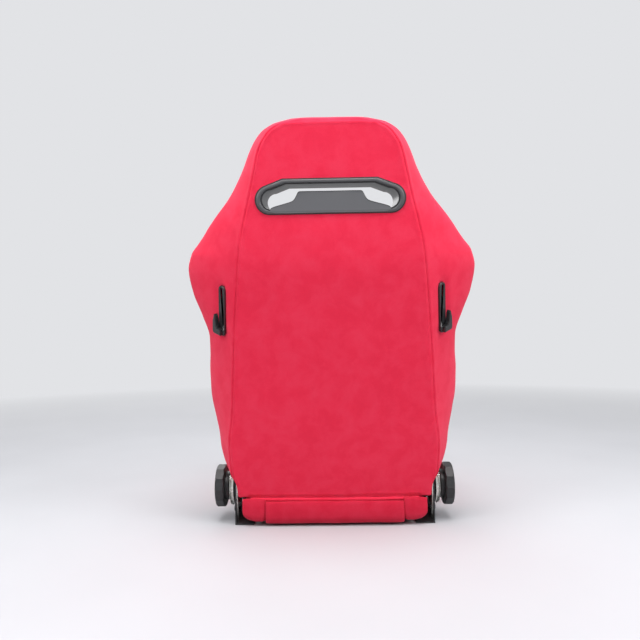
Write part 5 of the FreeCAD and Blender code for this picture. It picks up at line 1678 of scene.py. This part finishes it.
@dataclass
class CushionPads:
    """Seat cushion: channelled insert, thigh roll, bolsters, rear roll and the tail of its cover."""

    base: float = 74.6
    top: Table = ((-165, 190), (-60, 172), (30, 158), (109, 146))
    channels: Channels = Channels(-165, 109, 4, 134.0, 12.0)
    bolsters: Table = (
        (-280, 140, 160, 226, 122), (-255, 172, 196, 231, 148), (-200, 188, 214, 236, 166),
        (-110, 176, 217, 239, 170), (-20, 160, 208, 240, 162), (20, 152, 192, 240, 150),
        (60, 140, 162, 239, 136), (84, 128, 144, 238, 124), (104, 112, 126, 236, 112),
    )
    roll_ease: Ease = Ease(1.0, 0.05, 0.3, 0.016)
    bolster_ease: Ease = Ease(1.4, 0.06, 0.3, 0.018)
    bolster_inner: float = 136.0
    bolster_seat: float = 75.0
    skirt_inner: float = 221.0
    nose_x: float = 188.0
    nose_z: float = 108.0
    tail_half: float = 145.4
    tail_wall: float = 12.0
    member_front: float = -238.0
    chin: Table = ((219.8, 15.5), (192, 18), (166, 22), (142, 28))
    chin_inner: float = 36.0
    flap_top: float = 53.5
    lobe_top: float = 60.0
    lobe_inner: float = 145.8
    lobe_outer: float = 194.0
    lobe_round: float = 22.0

    def build(self, wardrobe: Wardrobe) -> list[bpy.types.Object]:
        """Make the cushion's pieces and dress them.

        Args:
            wardrobe: The finishes.

        Returns:
            The pieces.
        """
        made = [(self.insert(), "cushion_insert", 0.85), (self.thigh_roll(), "thigh_roll", 0.85),
                (self.rear_roll(), "cushion_rear_roll", 0.6), (self.tail_flap(), "cushion_tail_flap", 0.4)]
        for side in Side:
            made.append((self.bolster(side), f"cushion_bolster_{side.word}", 0.85))
            made.append((self.tail_lobe(side), "cushion_tail_lobes", 0.4))
        for piece, node, fill in made:
            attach(piece, Body.BASE.value)
            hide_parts(node)
            # The tail pieces take the darker suede copy, painted shade under the backrest's overhang.
            wardrobe.dress(piece, "suede", "suede_tail" if "tail" in node else None)
        self.give_way([piece for piece, _, _ in made])
        return [piece for piece, _, _ in made]

    @staticmethod
    def give_way(pieces: list[bpy.types.Object]) -> None:
        """Give the rear roll and the tail pieces, which the backrest presses, their own copies of mesh data.

        Args:
            pieces: The cushion's pieces.
        """
        for piece in pieces:
            if piece.name == "cushion_rear_roll_suede":
                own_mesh(piece)
            elif piece.name.startswith("cushion_tail"):
                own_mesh(piece)

    def insert(self) -> bpy.types.Object:
        """Make the insert of the seat cushion.

        Returns:
            The piece.
        """
        channels = self.channels
        places = channels.places()
        edges = table_at(self.top, places)[:, 0]
        rows = []
        for y, edge, deep in zip(places, edges, channels.depth(places)):
            x, rise, sunk, under = channels.row(deep)
            ring = np.stack([x, np.full_like(x, y), edge + rise - sunk], 1)
            base = np.stack([under, np.full_like(under, y), np.full_like(under, self.base)], 1)
            rows.append(np.concatenate([ring, base]) * MM)
        piece = ring_rows("cushion_insert_suede", rows)
        lines = []
        across = np.linspace(-0.99, 0.99, 16)
        for y in channels.seams():
            edge = float(table_at(self.top, np.array([y]))[0, 0])
            upper = edge + channels.crown * (1 - across**2) - channels.sink
            lines.append(np.stack([across * channels.half, np.full(16, y), upper], 1) * MM)
        channels.stuff(piece, lines, 41.0, 7.0)
        return piece

    def across(self, name: str, profile: np.ndarray, low: float, high: float, soft: float, tuck: float,
               seed: float) -> bpy.types.Object:
        """Sweep a closed profile across the seat, drawn in at its ends.

        Args:
            name: Name of the piece.
            profile: Points of the profile, y and z in millimetres.
            low: Lower end in x.
            high: Upper end in x.
            soft: Length over which the ends draw in.
            tuck: Share of the section that is lost at the ends.
            seed: Shift of the surface noise.

        Returns:
            The new piece.
        """
        centre = profile.mean(axis=0)
        rows = []
        for x in spaced((low, 1.4), (low + soft, 5.0), (high - soft, 1.4), (high, 1)):
            scale = 1 - tuck * end_ease(x, low, high, soft)
            ring = centre + (profile - centre) * scale
            rows.append(np.stack([np.full(len(ring), x), ring[:, 0], ring[:, 1]], 1) * MM)
        piece = ring_rows(name, rows)
        self.roll_ease.apply(piece, seed)
        return piece

    def thigh_roll(self) -> bpy.types.Object:
        """Make the front roll under the thighs, with its lip down the front.

        Returns:
            The piece.
        """
        corners = np.array([
            (-166, 77), (-166.4, 130), (-167.5, 176), (-178, 192), (-204, 199), (-232, 195), (-254, 182),
            (-270, 164), (-279, 138), (-283, 100), (-282, 60), (-277, 30), (-271, 22), (-262, 30), (-260, 62),
            (-244, 77),
        ])
        profile = spline_loop(corners, (0, 14, 15), 6)
        return self.across("thigh_roll_suede", profile, -133, 133, soft=14, tuck=0.08, seed=51.0)

    def rear_roll(self) -> bpy.types.Object:
        """Make the rear roll under the foot of the backrest.

        Returns:
            The piece.
        """
        corners = np.array([
            (110.5, 76), (110, 106), (113, 132), (128, 141), (145, 141), (160, 134), (172, 121), (176, 104),
            (173, 88), (160, 79),
        ])
        profile = spline_loop(corners, (0,), 6)
        return self.across("cushion_rear_roll_suede", profile, -132, 132, soft=12, tuck=0.1, seed=55.0)

    def bolster(self, side: Side) -> bpy.types.Object:
        """Make a side bolster over the side member, with its skirt outside.

        Args:
            side: The side of the seat.

        Returns:
            The piece.
        """
        low, high = self.bolsters[0][0], self.bolsters[-1][0]
        inner, skirt, seat = self.bolster_inner, self.skirt_inner, self.bolster_seat
        rows = []
        for y in spaced((low, 1.6), (low + 18, 5.0), (high - 18, 1.6), (high, 1)):
            inner_z, peak_z, outer, outer_z = table_at(self.bolsters, np.array([y]))[0]
            peak_x = inner + (outer - inner) * 0.56
            corners = np.array([
                (inner, 75.4), (inner, inner_z - 6), (inner + 6, inner_z + 1),
                ((inner + peak_x) / 2, peak_z * 0.8 + inner_z * 0.2 + 1), (peak_x, peak_z),
                ((peak_x + outer) / 2 + 4, peak_z * 0.72 + outer_z * 0.28 + 1), (outer - 0.5, outer_z),
                (outer + 0.6, (outer_z + 15) / 2 + 10), (outer - 0.6, 34), (outer - 5, 18), (outer - 11, 15),
                (219.8, 17), (219.6, 64.8), (210.4, 65.4), (210, 75.2),
            ])
            ahead = min(1.0, max(0.0, (self.member_front - y) / 8.0))
            corners[11:] += (np.array(self.chin) - corners[11:]) * ahead
            corners[0, 1] += (self.chin_inner - corners[0, 1]) * ahead
            ease = end_ease(y, low, high, 18)
            loop = spline_loop(corners, (0, 11, 12, 13, 14), 5)
            upper = loop[:, 1] > seat
            shrunk = loop.copy()
            shrunk[upper, 1] = seat + (loop[upper, 1] - seat) * (1 - ease * 0.16)
            outside = loop[:, 0] > skirt
            shrunk[outside, 0] = skirt + (loop[outside, 0] - skirt) * (1 - ease * 0.35)
            ring = [shrunk[:, 0] * side.value, np.full(len(loop), y), shrunk[:, 1]]
            rows.append(np.stack(ring, 1) * MM)
        nose = np.array([self.nose_x * side.value, low, self.nose_z]) * MM
        first = rows[0]
        for scale, push in ((0.95, 3.5), (0.86, 6.0), (0.7, 8.5), (0.45, 10.5), (0.18, 11.5)):
            dome = nose + (first - nose) * scale
            dome[:, 1] -= push * MM
            rows.insert(0, dome)
        piece = ring_rows(f"cushion_bolster_{side.word}_suede", rows)
        self.bolster_ease.apply(piece, 61.0 + side.value)
        return piece

    def tail_profile(self, rear: float, low: float, top: float) -> np.ndarray:
        """Draw the profile of the cover's tail: under the shaft, then up behind the pivot.

        Args:
            rear: How far back it reaches, y in millimetres.
            low: Height of its underside.
            top: Height of its rear edge.

        Returns:
            Rows of y and z.
        """
        wall = self.tail_wall
        corners = np.array([
            (142, 52), (190, 33), (241, low), (258, low - 0.3), (268, low + 2), (rear - 2, low + 11),
            (rear, low + 24), (rear - 0.5, top - 12), (rear - 2.5, top - 3), (rear - wall * 0.5, top),
            (rear - wall + 1, top - 4), (rear - wall, low + 26), (rear - wall - 3, low + wall + 5),
            (rear - wall - 12, low + wall), (241, low + wall), (190, 45), (142, 64),
        ])
        return spline_loop(corners, (0, 16), 5)

    def tail_flap(self) -> bpy.types.Object:
        """Make the centre flap of the tail.

        Returns:
            The piece.
        """
        profile, half = self.tail_profile(rear=277, low=5, top=self.flap_top), self.tail_half
        return self.across("cushion_tail_flap_suede", profile, -half, half, soft=9, tuck=0.05, seed=71.0)

    def tail_lobe(self, side: Side) -> bpy.types.Object:
        """Make a side lobe of the tail, rounded at its lower outer corner.

        Args:
            side: The side of the seat.

        Returns:
            The piece.
        """
        low, high = sorted((side.value * self.lobe_inner, side.value * self.lobe_outer))
        name = f"cushion_tail_lobe_{side.word}_suede"
        profile = self.tail_profile(rear=276, low=10, top=self.lobe_top)
        piece = self.across(name, profile, low, high, soft=16, tuck=0.1, seed=73.0 + side.value)
        points = points_of(piece)
        across = np.abs(points[:, 0]) / MM - self.lobe_inner
        share = np.clip(across / (self.lobe_outer - self.lobe_inner), 0, 1)
        below = np.clip((self.lobe_round + 10 - points[:, 2] / MM) / self.lobe_round, 0, 1)
        points[:, 0] -= side.value * share * below**2 * self.lobe_round * 0.9 * MM
        set_points(piece, points)
        return piece


@dataclass
class HeadTrim:
    """Trim rings round the head slot and the plain plate in it."""

    rear_seat: float = 1.1
    front_seat: float = -106.0
    # The frame is the bezels' own black plastic; its outer edge at 1.06, past the bezel outline, is a black
    # band standing in for the shadow gap round the ring: painted shadow.
    frame_profile: Table = (
        (1.06, -0.3), (1.06, 0.6), (1.02, 1.3), (0.94, 1.6), (0.1, 1.6), (0.02, 1.3), (0.0, 0.7), (0.0, -0.3),
    )
    face_profile: Table = (
        (0.84, 1.2), (0.84, 2.4), (0.8, 3.1), (0.72, 3.5), (0.62, 4.0), (0.5, 4.2), (0.4, 4.2), (0.3, 3.8),
        (0.26, 3.2), (0.25, 1.2),
    )
    plate: Table = (
        (0, 8.5), (55, 8.5), (58.5, 7.4), (60.5, 4.5), (64, -2.5), (68, -8.0), (74, -11.0), (90, -15.5),
        (104, -19.5), (110, -22.5), (111, -26.0), (106, -29.5), (60, -30.2), (0, -30.2),
    )
    plate_foot: float = 5.6
    plate_head: float = -1.2
    plate_wall: float = 2.2
    plate_low: float = -24.0
    plate_middle: float = -14.0

    def build(self, wardrobe: Wardrobe) -> list[bpy.types.Object]:
        """Make the rings and the plate and dress them.

        Args:
            wardrobe: The finishes.

        Returns:
            The pieces of the rings and the plate.
        """
        pieces = []
        for end, seat, height in (("rear", self.rear_seat, 1.0), ("front", self.front_seat, -0.7)):
            frame_ring = self.ring(f"head_bezel_{end}_frame", self.frame_profile, seat, height)
            face_ring = self.ring(f"head_bezel_{end}_face", self.face_profile, seat, height)
            # The face ring is the bezel's black plastic painted grey as its reflection; the frame ring keeps
            # the bezel's own black.
            for piece, finish in ((frame_ring, "black_plastic"), (face_ring, "grey_trim")):
                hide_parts(f"head_bezel_{end}")
                wardrobe.dress(piece, "black_plastic", finish)
                pieces.append(piece)
        panel = self.panel("head_slot_plate_face", 0.0, 0.0)
        # A black sheet grown past the plate and set behind it: painted shadow along the plate's edges.
        edge = self.panel("head_slot_plate_painted_shadow", 1.3, -1.0)
        for piece, slot in ((panel, "grey_plate"), (edge, "black_plastic")):
            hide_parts("head_slot_plate")
            wardrobe.dress(piece, slot)
            pieces.append(piece)
        for piece in pieces:
            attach(piece, Body.BACKREST.value)
        return pieces

    @staticmethod
    def ring(name: str, profile: Table, seat: float, height: float) -> bpy.types.Object:
        """Sweep a profile round the slot.

        Args:
            name: Name of the piece.
            profile: Shares of the way from the slot's outline to the ring's, each with a height.
            seat: Depth of the ring's seat in the slot's frame.
            height: Factor on the profile's heights, negative towards the front.

        Returns:
            The ring.
        """
        rows = [
            slot_ring(SLOT.towards(BEZEL, share).line()[:-1], seat + rise * height)
            for share, rise in (*profile, profile[0])
        ]
        piece = ring_rows(name, rows, ends=False)
        shade_by_angle(piece)
        return piece

    def panel(self, name: str, grow: float, shift: float) -> bpy.types.Object:
        """Plate whose foot laps over the ring's lower run.

        Args:
            name: Name of the piece.
            grow: Growth of its outline.
            shift: Shift of its depth.

        Returns:
            The plate.
        """
        half = table_line(self.plate, 4)
        half[:-1, 1] += grow * (half[:-1, 1] > self.plate_low)
        outward = np.clip(half[:, 0] / self.plate[1][0], 0, 1)
        half[:, 0] += grow * 0.8 * outward * (half[:, 1] > self.plate_low)
        line = np.concatenate([half, (half * np.array([-1, 1]))[::-1][1:-1]])
        slope = (self.plate_head - self.plate_foot) / (self.plate[0][1] - self.plate[-1][1])
        depth = self.plate_foot + (line[:, 1] - self.plate[-1][1]) * slope + shift
        away = line - np.array([0.0, self.plate_middle])
        run = np.linalg.norm(away, axis=1, keepdims=True)
        rows = [
            slot_ring(line - away / run * inset, depth - drop)
            for inset, drop in ((0.9, 0.0), (0.3, 0.25), (0.0, 0.9), (0.0, self.plate_wall))
        ]
        piece = ring_rows(name, rows)
        shade_by_angle(piece, 20.0)
        return piece


@dataclass
class ReclinerDiscs:
    """Turned cover discs beside the dials, each with two bright rims and a groove between them."""

    profile: Table = (
        (0.0, 0.3), (0.0, 0.98), (0.05, 1.0), (0.2, 1.0), (0.26, 0.98), (0.28, 0.84), (0.52, 0.84),
        (0.54, 0.95), (0.6, 0.975), (0.76, 0.975), (0.82, 0.955), (0.84, 0.8), (1.0, 0.78), (1.0, 0.3),
    )

    def build(self, wardrobe: Wardrobe) -> list[bpy.types.Object]:
        """Turn the discs about the recline pivot and dress them.

        Args:
            wardrobe: The finishes.

        Returns:
            The discs.
        """
        turns = np.linspace(0, 2 * math.pi, 72, endpoint=False)
        pieces = []
        for side in Side:
            node = f"recliner_disc_{side.word}"
            low, high = (np.array(corner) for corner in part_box(node))
            inner, outer = sorted((abs(low[0]), abs(high[0])))
            middle, radius = (low + high) / 2, (high[1] - low[1]) / 2
            rows = []
            for share, reach in (*self.profile, self.profile[0]):
                x = side.value * (inner + (outer - inner) * share)
                ring = [np.full_like(turns, x), middle[1] + radius * reach * np.cos(turns),
                        middle[2] + radius * reach * np.sin(turns)]
                rows.append(np.stack(ring, 1))
            piece = ring_rows(f"{node}_turned", rows, ends=False)
            shade_by_angle(piece, 28.0)
            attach(piece, Body.ARMS.value)
            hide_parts(node)
            wardrobe.dress(piece, "zinc")
            log.info("%s from %.4f to %.4f m, radius %.4f", node, inner, outer, radius)
            pieces.append(piece)
        return pieces


@dataclass
class LeverTrim:
    """Rims of the release levers' escutcheons."""

    half: float = 10.0
    length: float = 52.0
    over: float = 0.15
    rim: Table = ((0.0, 1.3), (0.0, 3.6), (0.5, 4.8), (1.3, 5.2), (2.1, 4.9), (2.7, 4.3), (2.7, 1.3))

    def build(self, wardrobe: Wardrobe) -> list[bpy.types.Object]:
        """Make the rims and dress them.

        Args:
            wardrobe: The finishes.

        Returns:
            The rims.
        """
        pieces = []
        for side in Side:
            rim = self.escutcheon_rim(side)
            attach(rim, Body.BACKREST.value)
            # The black rims take a red tint, painted reflection of the suede round them.
            wardrobe.dress(rim, "black_plastic", "oxblood_rim")
            pieces.append(rim)
        return pieces

    def escutcheon_rim(self, side: Side) -> bpy.types.Object:
        """Make the raised rim round an escutcheon's flange.

        Args:
            side: The side of the seat.

        Returns:
            The rim.
        """
        centre, out, across, up = LEVER.axes(side)
        turns = np.radians(np.arange(0, 181, 12))
        rows = []
        for inset, rise in (*self.rim, self.rim[0]):
            radius = self.half - inset + self.over
            straight = self.length - self.half
            top = np.stack([radius * np.cos(turns), straight + radius * np.sin(turns)], 1)
            line = np.concatenate([top, -top])
            rows.append(BACK.world(centre + line[:, :1] * across + line[:, 1:] * up + rise * out))
        piece = ring_rows(f"lever_escutcheon_rim_{side.word}", rows, ends=False)
        shade_by_angle(piece)
        return piece


@dataclass
class Studio:
    """Plain pale floor, soft lamps and the photograph's camera."""

    distance: float = 1.3639
    aside: float = 0.0039
    eye_height: float = 0.4049
    focal_pixels: float = 620.0
    picture: float = 640.0
    sensor: float = 36.0
    yaw: float = math.radians(0.93)
    pitch: float = math.radians(1.23)
    roll: float = math.radians(-0.86)
    aim: tuple[float, float, float] = (0, 0.15, 0.4)
    room_light: float = 0.62
    room_seen: float = 0.86
    floor_tones: tuple[str, str] = ("b4b5b9", "bbbcc0")
    floor_glow: str = "e2e3e6"
    floor_rise: Table = (
        (0.01, 0), (1.5, 0), (3.0, 0), (4.2, 0), (5.0, 0.12), (5.6, 0.5), (5.95, 1.1), (6.0, 2.0), (6.0, 5.0),
    )

    def camera(self) -> None:
        """Place the camera of the photograph behind the seat."""
        data = bpy.data.cameras.new("photo_camera")
        data.sensor_width = self.sensor
        data.lens = self.focal_pixels / self.picture * data.sensor_width
        data.clip_end = 30
        piece = bpy.data.objects.new("photo_camera", data)
        bpy.context.scene.collection.objects.link(piece)
        place = Vector((self.aside, BACK.pivot_y * MM + self.distance, self.eye_height))
        heading = Matrix.Rotation(math.pi + self.yaw, 4, "Z")
        tilt = Matrix.Rotation(math.pi / 2 + self.pitch, 4, "X")
        turn = Matrix.Rotation(self.roll, 4, "Z")
        piece.matrix_world = Matrix.Translation(place) @ heading @ tilt @ turn
        bpy.context.scene.camera = piece

    def lamps(self) -> None:
        """Hang soft lamps, each with its place, its size and its power."""
        for name, place, size, power in (
            ("lamp_over", (0.0, 1.1, 2.9), 2.0, 92.0),
            ("lamp_right", (-2.1, 1.7, 1.7), 1.6, 46.0),
            ("lamp_left", (2.1, 1.8, 1.6), 1.6, 34.0),
            ("lamp_front", (0.8, -2.6, 2.0), 1.8, 24.0),
        ):
            data = bpy.data.lights.new(name, "AREA")
            data.shape = "DISK"
            data.size = size
            data.energy = power
            lamp = bpy.data.objects.new(name, data)
            bpy.context.scene.collection.objects.link(lamp)
            lamp.location = place
            aim = Vector(self.aim) - Vector(place)
            lamp.rotation_euler = aim.to_track_quat("-Z", "Y").to_euler()

    def room(self) -> None:
        """Set the even light of the room, and how bright the camera sees it."""
        world = bpy.data.worlds.new("room")
        bpy.context.scene.world = world
        world.use_nodes = True
        draft = Draft(world.node_tree)
        path = draft.node("ShaderNodeLightPath").outputs
        mirrored = draft.maths("MAXIMUM", path["Is Glossy Ray"], path["Is Transmission Ray"])
        seen = draft.maths("MAXIMUM", path["Is Camera Ray"], mirrored)
        strength = draft.spread(seen, 0.0, 1.0, self.room_light, self.room_seen)
        light = draft.node("ShaderNodeBackground", {"Color": (1, 1, 1, 1), "Strength": strength})
        draft.node("ShaderNodeOutputWorld", {"Surface": light.outputs[0]})

    def floor(self) -> None:
        """Lay a plain pale floor that rises softly far from the seat."""
        turns = np.linspace(0, 2 * math.pi, 96, endpoint=False)
        rows = [
            np.stack([reach * np.cos(turns), reach * np.sin(turns), np.full_like(turns, rise)], 1)
            for reach, rise in self.floor_rise
        ]
        floor = ring_rows("floor", rows, ends=False)
        modify(floor, "SUBSURF", levels=2)
        shader = {"Roughness": 0.9, "Specular IOR Level": 0.1}
        material, draft, surface = finish_material("pale_floor", shader)
        place = draft.place()
        tone = draft.blend(draft.noise(place, 3.0, 2.0), *map(rgb, self.floor_tones))
        draft.join(tone, surface.inputs["Base Color"])
        path = draft.node("ShaderNodeLightPath").outputs
        seen = draft.maths("MAXIMUM", path["Is Camera Ray"], path["Is Glossy Ray"])
        far = draft.spread(draft.vector("LENGTH", {0: place}, "Value"), 1.2, 3.4, 0.0, 1.0)
        glow = draft.node("ShaderNodeEmission", {"Color": rgb(self.floor_glow), "Strength": 1.0})
        share = draft.maths("MULTIPLY", seen, far)
        mix = draft.node("ShaderNodeMixShader", {0: share, 1: surface.outputs[0], 2: glow.outputs[0]})
        end = next(n for n in draft.tree.nodes if n.type == "OUTPUT_MATERIAL")
        draft.join(mix.outputs[0], end.inputs["Surface"])
        floor.data.materials.append(material)

    def build(self) -> None:
        """Set up the camera, the lamps, the room and the floor."""
        self.camera()
        self.lamps()
        self.room()
        self.floor()
        bpy.context.scene.view_settings.view_transform = "Standard"


def main() -> None:
    """Build the looks in order and report each piece."""
    Studio().build()
    wardrobe = Wardrobe(Effects())
    wardrobe.dress_frame(frame["nodes"])
    for part in (RearCover(), BackrestPads(), CushionPads(), HeadTrim(), ReclinerDiscs(), LeverTrim()):
        for piece in part.build(wardrobe):
            log.info("%s: %d points", piece.name, len(piece.data.vertices))


if __name__ == "__main__":
    main()
